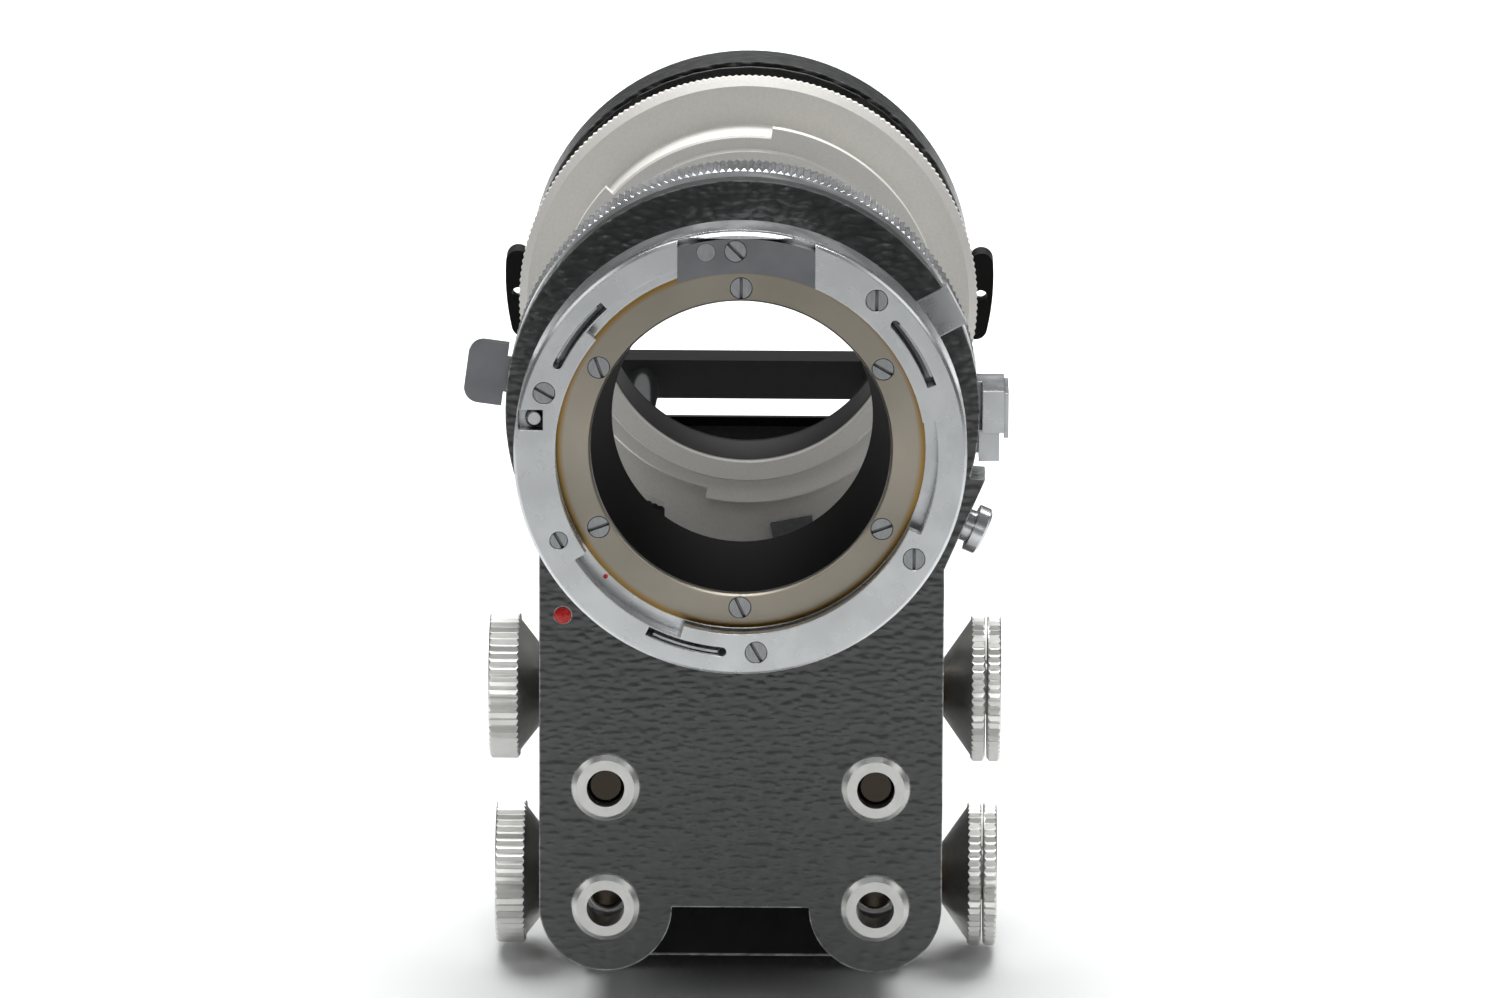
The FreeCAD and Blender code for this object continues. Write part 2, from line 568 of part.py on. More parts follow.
# Throat ring and its six screws
throat_tools = []
throat_screws = []
SLOT_TURNS = (90, 70, 160, 65, 160, 30)
for i in range(int(size("throat_screw_count"))):
    x, z = polar("throat_screw_circle", 90 + 360 * i / size("throat_screw_count"))
    throat_tools.append(rod(f"throat_seat_{i}", SEAT, "screw_head_height", x,
                            "throat_depth", z))
    throat_tools.append(rod(f"throat_hole_{i}", "screw_shank", "throat_thickness + 1", x,
                            "throat_depth", z))
    throat_screws.append(slotted_screw(f"throat_screw_{i}", "screw_head", x, "throat_depth", z,
                                       BACKWARDS, SLOT_TURNS[i % len(SLOT_TURNS)]))
ring = turned("throat_blank", (
    ("throat_bore", "throat_depth + 0.3"), ("throat_bore + 0.3", "throat_depth"),
    ("flange_bore", "throat_depth"),
    ("flange_bore", "throat_depth + throat_thickness"),
    ("throat_bore", "throat_depth + throat_thickness")))
node("throat_ring", cut("throat", ring, *throat_tools))
node("throat_screws", group("throat_screw_set", throat_screws))

# Light baffle, a blackened cone behind the throat ring
node("baffle_tube", turned("baffle", (
    ("throat_bore", "throat_depth + throat_thickness"),
    ("throat_bore + baffle_wall", "throat_depth + throat_thickness"),
    ("throat_bore + baffle_wall", "throat_depth + throat_thickness + ledge_depth"),
    ("baffle_end_radius + baffle_wall", "baffle_end_depth"),
    ("baffle_end_radius", "baffle_end_depth"),
    ("throat_bore - 0.1", "throat_depth + throat_thickness + 1"))))

# Lens plate
# A die-cast plate in hammer finish: a round head, a straight body and two lobes round
# the lower bushes, with an oblique boss for the cable socket.
PLATE_BACK = "(plate_depth + plate_thickness)"
HALF_WIDTH = "(rod_offset + lobe_radius)"
oblique = number("socket_angle")
COLLAR_BACK = f"({PLATE_BACK} + collar_length)"


def boss_shape(name, front):
    """The oblique boss from a depth back to the collar's end, clear of the sleeve."""
    outline = (
        ("plate_radius * cos(16)", "-plate_radius * sin(16)"),
        (f"socket_x + 8.4 * sin({-oblique})", f"socket_z + 8.4 * cos({-oblique})"),
        (f"socket_x - 7 * sin({-oblique})", f"socket_z - 7 * cos({-oblique})"),
        ("socket_x - 14", "socket_z - 8"), ("socket_x - 14", "-plate_radius * sin(16)"))
    room = rod(f"{name}_room", "sleeve_radius", "collar_length + 1", "0", PLATE_BACK, "0")
    return cut(name, plate(f"{name}_blank", outline, front, COLLAR_BACK), room)


boss = boss_shape("plate_boss", "plate_depth")
plate_parts = [
    rod("plate_head", "plate_radius", "plate_thickness", "0", "plate_depth", "0"),
    slab("plate_body", f"-{HALF_WIDTH}", HALF_WIDTH, "plate_depth", PLATE_BACK,
         "-lower_rod_drop", "-plate_radius / 2"),
    boss]
bush_bores = []
bush_rings = []
for side, sign in SIDES:
    plate_parts.append(rod(f"plate_lobe_{side}", "lobe_radius", "plate_thickness",
                           f"{sign} * rod_offset", "plate_depth", "-lower_rod_drop"))
    for level in ("upper", "lower"):
        at = (f"{sign} * rod_offset", f"-{level}_rod_drop")
        bush_bores.append(rod(f"plate_hole_{level}_{side}", "bush_radius", "plate_thickness + 2",
                              at[0], "plate_depth - 1", at[1]))
        bush_rings.append(turned(f"plate_bush_{level}_{side}", (
            (BORE_RADIUS, "0"), ("bush_radius - bush_bevel", "0"), ("bush_radius", "bush_bevel"),
            ("bush_radius", "bush_length"), (BORE_RADIUS, "bush_length")),
            at[0], "plate_depth - bush_proud", at[1]))
bead_at = ("bead_x", "plate_depth", "bead_z")
BOSS_OUT = FreeCAD.Rotation(VECTOR(0, 1, 0), 90 - oblique)
BOSS_IN = FreeCAD.Rotation(VECTOR(0, 1, 0), -90 - oblique)
BOSS_MIDDLE = "(plate_depth + 5.4)"
socket_hole = rod("socket_hole", "socket_radius - 0.8", "9",
                  f"socket_x - 7 * cos({oblique})", BOSS_MIDDLE,
                  f"socket_z - 7 * sin({oblique})", BOSS_OUT)
node("lens_plate", cut(
    "plate_drilled", fuse("plate_blank", *plate_parts),
    rod("plate_neck_hole", "neck_radius", "plate_thickness + 2", "0", "plate_depth - 1", "0"),
    rod("plate_pin_hole", "pin_radius + 0.15", "plate_thickness + 2", pin_x, "plate_depth - 1",
        pin_z),
    rod("bead_seat", "bead_radius", "1", *bead_at), socket_hole, *bush_bores))
node("plate_bushes", group("plate_bush_set", bush_rings))

# Red lens index, a glossy bead set in the plate
node("lens_index_bead", turned("bead", (
    ("0", "-0.55"), ("bead_radius * 0.55", "-0.45"), ("bead_radius * 0.9", "-0.2"),
    ("bead_radius", "0"), ("bead_radius", "0.9"), ("0", "0.9")), *bead_at))

# Aperture index clip, a bent chrome strip from the flange to the edge of the plate
CLIP_TURN = FreeCAD.Rotation(VECTOR(0, 1, 0), -size("clip_angle"))


def radial_slab(name, inner, outer, width, front, back, angle, turn):
    """A box that reaches outwards from the optical axis at an angle."""
    box = make("Part::Box", name, Length=f"({outer}) - ({inner})", Width=f"({back}) - ({front})",
               Height=width)
    x, z = polar(inner, angle)
    return put(box, f"{x} + ({width}) / 2 * sin({angle})", front,
               f"{z} - ({width}) / 2 * cos({angle})", turn)


node("index_clip", fuse(
    "clip",
    radial_slab("clip_leaf", "clip_inner", "plate_radius + clip_thickness", "clip_width",
                "plate_depth - clip_thickness", "plate_depth", "clip_angle", CLIP_TURN),
    radial_slab("clip_fold", "plate_radius", "plate_radius + clip_thickness", "clip_width",
                "plate_depth - clip_thickness", "plate_depth + 2.2", "clip_angle", CLIP_TURN)))

# Collar behind the plate, with the slot that the release lever moves in
LEVER_FRONT = f"({PLATE_BACK} + 0.5)"
LEVER_TURN = FreeCAD.Rotation(VECTOR(0, 1, 0), -size("lever_angle"))
collar = turned("collar_blank", (
    ("sleeve_radius", PLATE_BACK), ("collar_radius", PLATE_BACK),
    ("collar_radius", f"{COLLAR_BACK} - 0.3"), ("collar_radius - 0.3", COLLAR_BACK),
    ("sleeve_radius", COLLAR_BACK)))
node("collar", cut("collar_slotted", collar, boss_shape("collar_gap", PLATE_BACK), radial_slab(
    "lever_slot", "sleeve_radius - 2", "collar_radius + 2", "lever_arm + 2 * body_gap",
    f"{PLATE_BACK} - 1", f"{LEVER_FRONT} + lever_thickness + lever_travel + body_gap",
    "lever_angle", LEVER_TURN)))

# Sleeve that carries the coupling ring and takes the front frame's bayonet
SLEEVE_RIM_FRONT = "(sleeve_end_depth - sleeve_rim)"
sleeve = turned("sleeve_blank", (
    ("sleeve_seat", PLATE_BACK), ("sleeve_radius", PLATE_BACK),
    ("sleeve_radius", SLEEVE_RIM_FRONT), ("sleeve_rim_radius", SLEEVE_RIM_FRONT),
    ("sleeve_rim_radius", "sleeve_end_depth"), ("sleeve_bore", "sleeve_end_depth"),
    ("sleeve_bore", f"{PLATE_BACK} + sleeve_seat_thickness"),
    ("sleeve_seat", f"{PLATE_BACK} + sleeve_seat_thickness")))
sleeve_tools = [radial_slab(
    "sleeve_lever_slot", "sleeve_radius - 4", "sleeve_radius + 1", "lever_arm + 2 * body_gap",
    f"{PLATE_BACK} - 1", f"{LEVER_FRONT} + lever_thickness + lever_travel + body_gap",
    "lever_angle", LEVER_TURN)]
sleeve_screws = []
for i, angle in enumerate(SLEEVE_SCREW_ANGLES):
    x, z = polar("sleeve_screw_circle", angle)
    seat_back = f"{PLATE_BACK} + sleeve_seat_thickness"
    sleeve_tools.append(rod(f"sleeve_screw_seat_{i}", SEAT, "screw_head_height", x, seat_back,
                            z, FORWARDS))
    sleeve_tools.append(rod(f"sleeve_screw_hole_{i}", "screw_shank", "sleeve_seat_thickness + 1",
                            x, seat_back, z, FORWARDS))
    sleeve_screws.append(slotted_screw(f"sleeve_screw_{i}", "screw_head", x, seat_back, z,
                                       FORWARDS, angle))
node("rear_sleeve", cut("sleeve", sleeve, *sleeve_tools))
node("sleeve_screws", group("sleeve_screw_set", sleeve_screws))

# Coupling ring, knurled, with its catch; it turns on the sleeve
RING_FRONT = f"({COLLAR_BACK} + body_gap)"
RING_BACK = f"({SLEEVE_RIM_FRONT} - body_gap)"
RING_BORE = "(sleeve_radius + turn_clearance)"
ring_knurl = ribbed("ring_knurl", "ring_radius", "ring_rib_depth", "ring_ribs",
                    f"{RING_BACK} - {RING_FRONT}", "0", RING_FRONT, "0", BACKWARDS)
ring_profile = turned("ring_profile", (
    (RING_BORE, RING_FRONT), ("ring_radius - 1.1", RING_FRONT),
    ("ring_radius - 1.1", f"{RING_FRONT} + 0.9"), ("ring_radius - 0.6", f"{RING_FRONT} + 0.9"),
    ("ring_radius", f"{RING_FRONT} + 1.5"), ("ring_radius", f"{RING_BACK} - 0.6"),
    ("ring_radius - 0.6", RING_BACK), (RING_BORE, RING_BACK)))
coupling_ring = doc.addObject("Part::MultiCommon", "coupling_ring_body")
coupling_ring.Shapes = [ring_knurl, ring_profile]
node("coupling_ring", coupling_ring)
CATCH_IN = "(ring_radius + 0.15)"
CATCH_SPLIT = "(catch_high - 6.2)"
CATCH_FRONT = f"({PLATE_BACK} + 0.6)"
catch = fuse(
    "catch_blocks",
    slab("catch_upper", f"{CATCH_IN} + 0.5", f"{CATCH_IN} + catch_width - 0.9", CATCH_FRONT,
         f"{RING_BACK} - 1.5", CATCH_SPLIT, "catch_high"),
    slab("catch_lower", CATCH_IN, f"{CATCH_IN} + catch_width - 1.6", f"{CATCH_FRONT} + 1",
         f"{RING_BACK} - 1.5", "catch_low", f"{CATCH_SPLIT} + 0.2"),
    slab("catch_strip", f"{CATCH_IN} + catch_width - 1.0", f"{CATCH_IN} + catch_width - 0.3",
         f"{CATCH_FRONT} + 0.4", f"{RING_BACK} - 2.5", "catch_high - 7", "catch_high - 0.4"),
    slab("catch_foot", "ring_radius - 1.5", f"{CATCH_IN} + 1.2", f"{RING_FRONT} + 1.6",
         f"{RING_BACK} - 1.5", "catch_low", "catch_high"))
node("ring_catch", cut("catch", catch, ribbed(
    "catch_relief", "ring_radius", "ring_rib_depth", "ring_ribs",
    f"{RING_BACK} - {RING_FRONT}", "0", RING_FRONT, "0", BACKWARDS)))

# Release lever with the lock pin that drops into a lens's notch
lever = fuse(
    "lever",
    radial_slab("lever_arm_piece", "pin_circle - 2", "collar_radius + 1.5", "lever_arm",
                LEVER_FRONT, f"{LEVER_FRONT} + lever_thickness", "lever_angle", LEVER_TURN),
    radial_slab("lever_tab", "collar_radius + body_gap + 0.3", "lever_reach - 2.2", "lever_width",
                LEVER_FRONT, f"{LEVER_FRONT} + lever_thickness", "lever_angle", LEVER_TURN),
    radial_slab("lever_tip", "collar_radius + 2", "lever_reach", "lever_width - 3.6",
                LEVER_FRONT, f"{LEVER_FRONT} + lever_thickness", "lever_angle", LEVER_TURN),
    *[rod(f"lever_corner_{word}", "2.2", "lever_thickness",
          f"(lever_reach - 2.2) * cos(lever_angle) + {sign} * (lever_width / 2 - 2.2)"
          " * sin(lever_angle)", LEVER_FRONT,
          f"(lever_reach - 2.2) * sin(lever_angle) - {sign} * (lever_width / 2 - 2.2)"
          " * cos(lever_angle)") for word, sign in (("low", 1), ("high", -1))])
node("release_lever", cut("lever_drilled", lever, rod(
    "lever_pin_hole", "pin_radius - 0.3", "lever_thickness + 2", pin_x, f"{LEVER_FRONT} - 1",
    pin_z)))
node("lock_pin", turned("pin", (
    ("0", "pin_recess"), ("pin_radius - 0.3", "pin_recess"), ("pin_radius", "pin_recess + 0.3"),
    ("pin_radius", LEVER_FRONT), ("pin_radius - 0.3", LEVER_FRONT),
    ("pin_radius - 0.3", f"{LEVER_FRONT} + lever_thickness"),
    ("0", f"{LEVER_FRONT} + lever_thickness")), pin_x, "0", pin_z))

# Cable socket on the oblique boss, and the plunger inside it
SOCKET_TURN = FreeCAD.Rotation(VECTOR(0, 1, 0), -oblique).multiply(
    FreeCAD.Rotation(VECTOR(0, 0, 1), -90))
node("cable_socket", turned("socket", (
    ("plunger_radius + turn_clearance", "-4.4"), ("socket_radius - 0.8", "-4.4"),
    ("socket_radius - 0.8", "0.02"), ("socket_radius - 1.1", "0.02"),
    ("socket_radius - 1.1", "socket_proud - 2"), ("socket_radius", "socket_proud - 2"),
    ("socket_radius", "socket_proud - 0.4"), ("socket_radius - 0.4", "socket_proud"),
    ("socket_bore", "socket_proud"), ("socket_bore", "socket_proud - socket_bore_depth"),
    ("plunger_radius + turn_clearance", "socket_proud - socket_bore_depth")),
    "socket_x", BOSS_MIDDLE, "socket_z", SOCKET_TURN))
node("cable_plunger", turned("plunger", (
    ("0", "-3.4"), ("plunger_radius", "-3.4"),
    ("plunger_radius", "socket_proud - socket_bore_depth"),
    ("0", "socket_proud - socket_bore_depth")),
    "socket_x", BOSS_MIDDLE, "socket_z", SOCKET_TURN))


# Racks and pinions
# Involute teeth of 20 degrees. A gap of each rack stands at its pinion, and a tooth of
# the pinion points into it.
PRESSURE = math.radians(20)
PITCH = math.pi * size("rack_module")


def rack_cutter(name, start, end, middle, x, top, sign):
    """The shape that cuts rack teeth into a flat at height top; sign -1 cuts from below."""
    module = size("rack_module")
    half_gap = PITCH / 4 + size("tooth_backlash") / 4
    slope = math.tan(PRESSURE)
    first = math.ceil((number(start) - number(middle)) / PITCH)
    last = math.floor((number(end) - number(middle)) / PITCH)
    deep = 2.25 * module
    points = [VECTOR(0, last * PITCH + PITCH, 3), VECTOR(0, first * PITCH - PITCH, 3),
              VECTOR(0, first * PITCH - PITCH, 0)]
    for i in range(first, last + 1):
        at = i * PITCH
        mouth = half_gap + module * slope
        floor = half_gap - 1.25 * module * slope
        points += [VECTOR(0, at - mouth, 0), VECTOR(0, at - floor, -deep),
                   VECTOR(0, at + floor, -deep), VECTOR(0, at + mouth, 0)]
    points.append(VECTOR(0, last * PITCH + PITCH, 0))
    points = [VECTOR(p.x, p.y, p.z * sign) for p in points]
    return extruded(name, points, VECTOR(1, 0, 0), "rod_diameter + 2",
                    f"({x}) - rod_diameter / 2 - 1", middle, top)


def gear(name, teeth, x, depth, z, phase):
    """A spur gear across the unit, with a tooth at the angle phase."""
    module = size("rack_module")
    count = int(number(teeth))
    pitch_radius = module * count / 2
    base = pitch_radius * math.cos(PRESSURE)
    tip = pitch_radius + module * 0.9
    root = pitch_radius - module * 1.2
    half_tooth = (PITCH / 2 - size("tooth_backlash") / 2) / (2 * pitch_radius)
    spread = half_tooth + math.tan(PRESSURE) - PRESSURE
    flank = []
    for step in range(5):
        reach = max(base, root) + (tip - max(base, root)) * step / 4
        roll = math.acos(min(1, base / reach))
        flank.append((reach, spread - (math.tan(roll) - roll)))
    flank = [(root, flank[0][1])] + flank
    points = []
    for i in range(count):
        middle = phase + 2 * math.pi * i / count
        for reach, angle in [(r, -a) for r, a in flank] + flank[::-1]:
            points.append(VECTOR(0, reach * math.cos(middle + angle),
                                 reach * math.sin(middle + angle)))
    return extruded(name, points, VECTOR(1, 0, 0), "gear_width", x, depth, z)


# Rods
# Ground steel. The right rod of each pair has a rack milled into a flat.
UPPER_FRONT = "(plate_depth - bush_proud + rod_recess)"
UPPER_TOP = "(-upper_rod_drop + rod_diameter / 2 - rack_flat)"
LOWER_FLOOR = "(-lower_rod_drop - rod_diameter / 2 + rack_flat)"
STANDARD_BACK = "(standard_depth + standard_thickness)"


def rod_outline(front, back):
    """A bar with bevelled ends."""
    return (("0", front), (f"{ROD_RADIUS} - 0.5", front), (ROD_RADIUS, f"{front} + 0.5"),
            (ROD_RADIUS, f"{back} - 0.5"), (f"{ROD_RADIUS} - 0.5", back), ("0", back))


SPIGOT_END = "(tail_depth + tail_thickness - screw_head_height)"
for side, sign in SIDES:
    x = f"{sign} * rod_offset"
    upper = cut(
        f"upper_bar_drilled_{side}",
        turned(f"upper_bar_{side}", (
            ("0", UPPER_FRONT), (f"{ROD_RADIUS} - 0.5", UPPER_FRONT),
            (ROD_RADIUS, f"{UPPER_FRONT} + 0.5"), (ROD_RADIUS, "tail_depth"),
            ("tail_spigot", "tail_depth"), ("tail_spigot", SPIGOT_END), ("0", SPIGOT_END)),
            x, "0", "-upper_rod_drop"),
        rod(f"upper_bar_thread_{side}", "screw_shank", "screw_length + 1", x, f"{SPIGOT_END} + 1",
            "-upper_rod_drop", FORWARDS))
    lower = turned(f"lower_bar_{side}", rod_outline("lower_rod_front", STANDARD_BACK),
                   x, "0", "-lower_rod_drop")
    if side == "right":
        upper = cut("upper_rack", upper, rack_cutter(
            "upper_rack_cutter", "upper_rack_start", "upper_rack_end", "upper_pinion_depth",
            x, UPPER_TOP, 1))
        lower = cut("lower_rack", lower, rack_cutter(
            "lower_rack_cutter", "lower_rod_front - 3", "lower_rack_end", "lower_pinion_depth",
            x, LOWER_FLOOR, -1))
    node(f"upper_rod_{side}", upper)
    node(f"lower_rod_{side}", lower)

# Tail bar, which ties the upper rods together behind the camera
# The rods' turned-down ends sit in it and are held by a screw each from behind.
TAIL_BACK = "(tail_depth + tail_thickness)"
TAIL_MIDDLE = "(-upper_rod_drop + tail_rise)"
tail_holes = []
tail_screws = []
for side, sign in SIDES:
    x = f"{sign} * rod_offset"
    tail_holes.append(rod(f"tail_hole_{side}", "tail_spigot", "tail_thickness + 2", x,
                          "tail_depth - 1", "-upper_rod_drop"))
    tail_screws.append(slotted_screw(f"tail_screw_{side}", "screw_head", x, TAIL_BACK,
                                     "-upper_rod_drop", FORWARDS, 50 * sign))
node("tail_bar", cut("tail", slab(
    "tail_blank", "-rod_offset - tail_end", "rod_offset + tail_end", "tail_depth", TAIL_BACK,
    f"{TAIL_MIDDLE} - tail_height / 2", f"{TAIL_MIDDLE} + tail_height / 2"), *tail_holes))
node("tail_screws", group("tail_screw_set", tail_screws))

# Tripod block
# A die-cast housing in hammer finish, open at the top under its gear cover. Its end
# walls hold the rod bushes, its side walls the bearings of both pinions.
UPPER_AXLE = (f"({UPPER_TOP} - rack_module + rack_module * upper_teeth / 2)")
LOWER_AXLE = (f"({LOWER_FLOOR} + rack_module - rack_module * lower_teeth / 2)")
AXLES = (("upper", "upper_pinion_depth", UPPER_AXLE, "upper_teeth", -math.pi / 2),
         ("lower", "lower_pinion_depth", LOWER_AXLE, "lower_teeth", math.pi / 2))
END_WALL = "block_bush_length"
CAVITY_FRONT = f"(block_front + {END_WALL})"
CAVITY_BACK = f"(block_back - {END_WALL})"
GEAR_ROOM_BACK = "(lower_pinion_depth + 9)"
GEAR_SIDE = "(rod_offset + gear_width / 2 + body_gap)"
GEAR_REACH = "(rack_module * (upper_teeth / 2 + 0.9) + gear_air)"
COVER_TOP = "(block_top + cover_thickness)"


def gear_relief(word):
    """The room that the upper gear turns in."""
    return rod(f"gear_relief_{word}", GEAR_REACH, "gear_width + 2 * body_gap",
               "rod_offset - gear_width / 2 - body_gap", "upper_pinion_depth", UPPER_AXLE, RIGHT)


casting = fuse(
    "block_blank",
    slab("block_upper", "-block_half", "block_half", "block_front", "block_back",
         "block_waist", "block_top"),
    slab("block_nose", "-block_half + 1.5", "block_half - 1.5", "block_front", "block_back",
         "nose_bottom", "block_waist"),
    slab("block_keel", "-block_half + 1.5", "block_half - 1.5", "keel_front", "block_back",
         "keel_bottom", "nose_bottom"),
    *[rod(f"block_boss_{level}_{side}", "bearing_boss", "3.4",
          f"{sign} * (block_half - 2)", depth, z, RIGHT if sign > 0 else LEFT)
      for level, depth, z, teeth, phase in AXLES for side, sign in SIDES])
block_tools = [
    slab("block_cavity", "-block_half + block_wall", "block_half - block_wall", CAVITY_FRONT,
         CAVITY_BACK, "nose_bottom + block_wall", "block_top + 1"),
    gear_relief("block"),
    slab("gear_room", f"-{GEAR_SIDE}", GEAR_SIDE,
         "keel_front + block_wall", GEAR_ROOM_BACK, "keel_bottom + 1", "nose_bottom + 4"),
    slab("label_seat", "-label_half", "label_half", "block_front - 1",
         "block_front + label_thickness / 2", "label_bottom", "label_top"),
    rod("tripod_seat", "tripod_bush_radius", "tripod_bore_depth", "0", "socket_depth",
        "-axis_height", UP)]
bush_set = []
for level in ("upper", "lower"):
    for side, sign in SIDES:
        x, z = f"{sign} * rod_offset", f"-{level}_rod_drop"
        for end, front in (("front", "block_front"), ("back", CAVITY_BACK)):
            block_tools.append(rod(f"block_bore_{level}_{side}_{end}", "block_bush_radius",
                                   "block_bush_length + 2", x, f"{front} - 1", z))
            bush_set.append(cut(
                f"block_bush_{level}_{side}_{end}",
                rod(f"block_bush_blank_{level}_{side}_{end}", "block_bush_radius",
                    "block_bush_length", x, front, z),
                rod(f"block_bush_bore_{level}_{side}_{end}", BORE_RADIUS,
                    "block_bush_length + 2", x, f"{front} - 1", z)))
bearing_set = []
for level, depth, z, teeth, phase in AXLES:
    for side, sign in SIDES:
        turn = RIGHT if sign > 0 else LEFT
        inner = f"{sign} * {GEAR_SIDE}"
        block_tools.append(rod(f"bearing_seat_{level}_{side}", "bearing_radius",
                               "bearing_end", inner, depth, z, turn))
        bearing_set.append(cut(
            f"bearing_{level}_{side}",
            rod(f"bearing_blank_{level}_{side}", "bearing_radius",
                f"bearing_end - {GEAR_SIDE}", inner, depth, z, turn),
            rod(f"bearing_bore_{level}_{side}", "shaft_radius + turn_clearance",
                "bearing_end", f"{sign} * ({GEAR_SIDE} - 1)", depth, z, turn)))
DOWN = FreeCAD.Rotation(VECTOR(1, 0, 0), 180)
cover_screws = []
cover_tools = []
for side, sign in SIDES:
    x = f"{sign} * (block_half - block_wall / 2)"
    for end, depth in (("front", f"block_front + {END_WALL} / 2"),
                       ("back", f"block_back - {END_WALL} / 2")):
        name = f"cover_{side}_{end}"
        cover_screws.append(slotted_screw(f"{name}_screw", "pilot_head", x, depth, COVER_TOP,
                                          DOWN, 35 * sign))
        cover_tools.append(rod(f"{name}_seat", "pilot_head + seat_gap", "screw_head_height", x, depth,
                               COVER_TOP, DOWN))
        cover_tools.append(rod(f"{name}_hole", "screw_shank", "cover_thickness + 1", x, depth,
                               COVER_TOP, DOWN))
        block_tools.append(rod(f"{name}_thread", "screw_shank",
                               "screw_head_height + screw_length", x, depth, COVER_TOP, DOWN))
foot_screws = []
foot_tools = []
for side, sign in SIDES:
    for end, depth in (("front", "socket_depth - foot_screw_front"),
                       ("back", "socket_depth + foot_screw_back")):
        x = f"{sign} * foot_screw_side"
        name = f"foot_{side}_{end}"
        foot_screws.append(slotted_screw(f"{name}_screw", "foot_screw", x, depth, "-axis_height", UP,
                                         25 * sign))
        foot_tools.append(rod(f"{name}_seat", "foot_screw", "screw_head_height", x, depth,
                              "-axis_height", UP))
        foot_tools.append(rod(f"{name}_hole", "screw_shank", "screw_head_height + screw_length",
                              x, depth, "-axis_height", UP))
        block_tools.append(rod(f"{name}_thread", "screw_shank",
                               "screw_head_height + screw_length", x, depth, "-axis_height", UP))
node("tripod_block", cut("block", casting, *block_tools))
node("block_bushes", group("block_bush_set", bush_set))
node("shaft_bearings", group("bearing_set", bearing_set))
node("label_plate", slab("label", "-label_half", "label_half",
                         "block_front - label_thickness / 2", "block_front + label_thickness / 2",
                         "label_bottom", "label_top"))
node("gear_cover", cut(
    "cover",
    fuse("cover_blank",
         slab("cover_plate", "-block_half", "block_half", "block_front", "block_back",
              "block_top", COVER_TOP),
         slab("cover_hump", f"2 * rod_offset - {GEAR_SIDE} - hump_wall", f"{GEAR_SIDE} + hump_wall",
              f"upper_pinion_depth - {GEAR_REACH}", f"upper_pinion_depth + {GEAR_REACH}",
              "block_top", f"{UPPER_AXLE} + {GEAR_REACH} + hump_wall")),
    gear_relief("cover"), *cover_tools))
node("cover_screws", group("cover_screw_set", cover_screws))

# Foot with the tripod bush
foot_parts = [
    slab("foot_long", "-foot_half + foot_corner", "foot_half - foot_corner", "foot_front",
         "foot_back", "-axis_height", "keel_bottom"),
    slab("foot_wide", "-foot_half", "foot_half", "foot_front + foot_corner",
         "foot_back - foot_corner", "-axis_height", "keel_bottom")]
for side, sign in SIDES:
    for end, depth in (("front", "foot_front + foot_corner"), ("back", "foot_back - foot_corner")):
        foot_parts.append(rod(f"foot_corner_{side}_{end}", "foot_corner",
                              "keel_bottom + axis_height", f"{sign} * (foot_half - foot_corner)",
                              depth, "-axis_height", UP))
foot_tools.append(rod("foot_bush_hole", "tripod_bush_radius", "tripod_bore_depth", "0",
                      "socket_depth", "-axis_height - 1", UP))
foot_tools.append(rod("stop_hole", "stop_bore", "tripod_bore_depth", "0",
                      "socket_depth + stop_spacing", "-axis_height - 1", UP))
node("foot_plate", cut("foot", fuse("foot_blank", *foot_parts), *foot_tools))
node("foot_screws", group("foot_screw_set", foot_screws))
node("tripod_bush", cut(
    "bush", rod("bush_blank", "tripod_bush_radius", "tripod_bore_depth", "0", "socket_depth",
                "-axis_height", UP),
    rod("bush_thread", "tripod_bore", "tripod_bore_depth + 2", "0", "socket_depth",
        "-axis_height - 1", UP)))

# Pinions, knobs and lock rings
# Each shaft carries its gear under a rod's rack, a knob at either end, and on the right
# a knurled lock ring that turns on the knob's hub.
TO_RIGHT = FreeCAD.Rotation(VECTOR(0, 0, 1), -90)
TO_LEFT = FreeCAD.Rotation(VECTOR(0, 0, 1), 90)
LEFT_END = "(left_grip_start + left_grip)"
RIGHT_END = "(right_grip_start + right_grip)"
RING_START = f"({RIGHT_END} + lock_ring_gap)"
RING_END = f"({RING_START} + lock_ring)"


def bevelled_grip(name, start, width, bore, depth, z, turn, spin):
    """A knurled disc with bevelled rims."""
    disc = ribbed(f"{name}_knurl", "knob_radius", "knob_rib_depth", "knob_ribs", width,
                  start, depth, z, spin)
    profile = turned(f"{name}_profile", (
        (bore, "0"), ("knob_radius - 0.5", "0"), ("knob_radius", "0.4"),
        ("knob_radius", f"({width}) - 0.4"), ("knob_radius - 0.5", width), (bore, width)),
        start, depth, z, turn)
    both = doc.addObject("Part::MultiCommon", name)
    both.Shapes = [disc, profile]
    return both


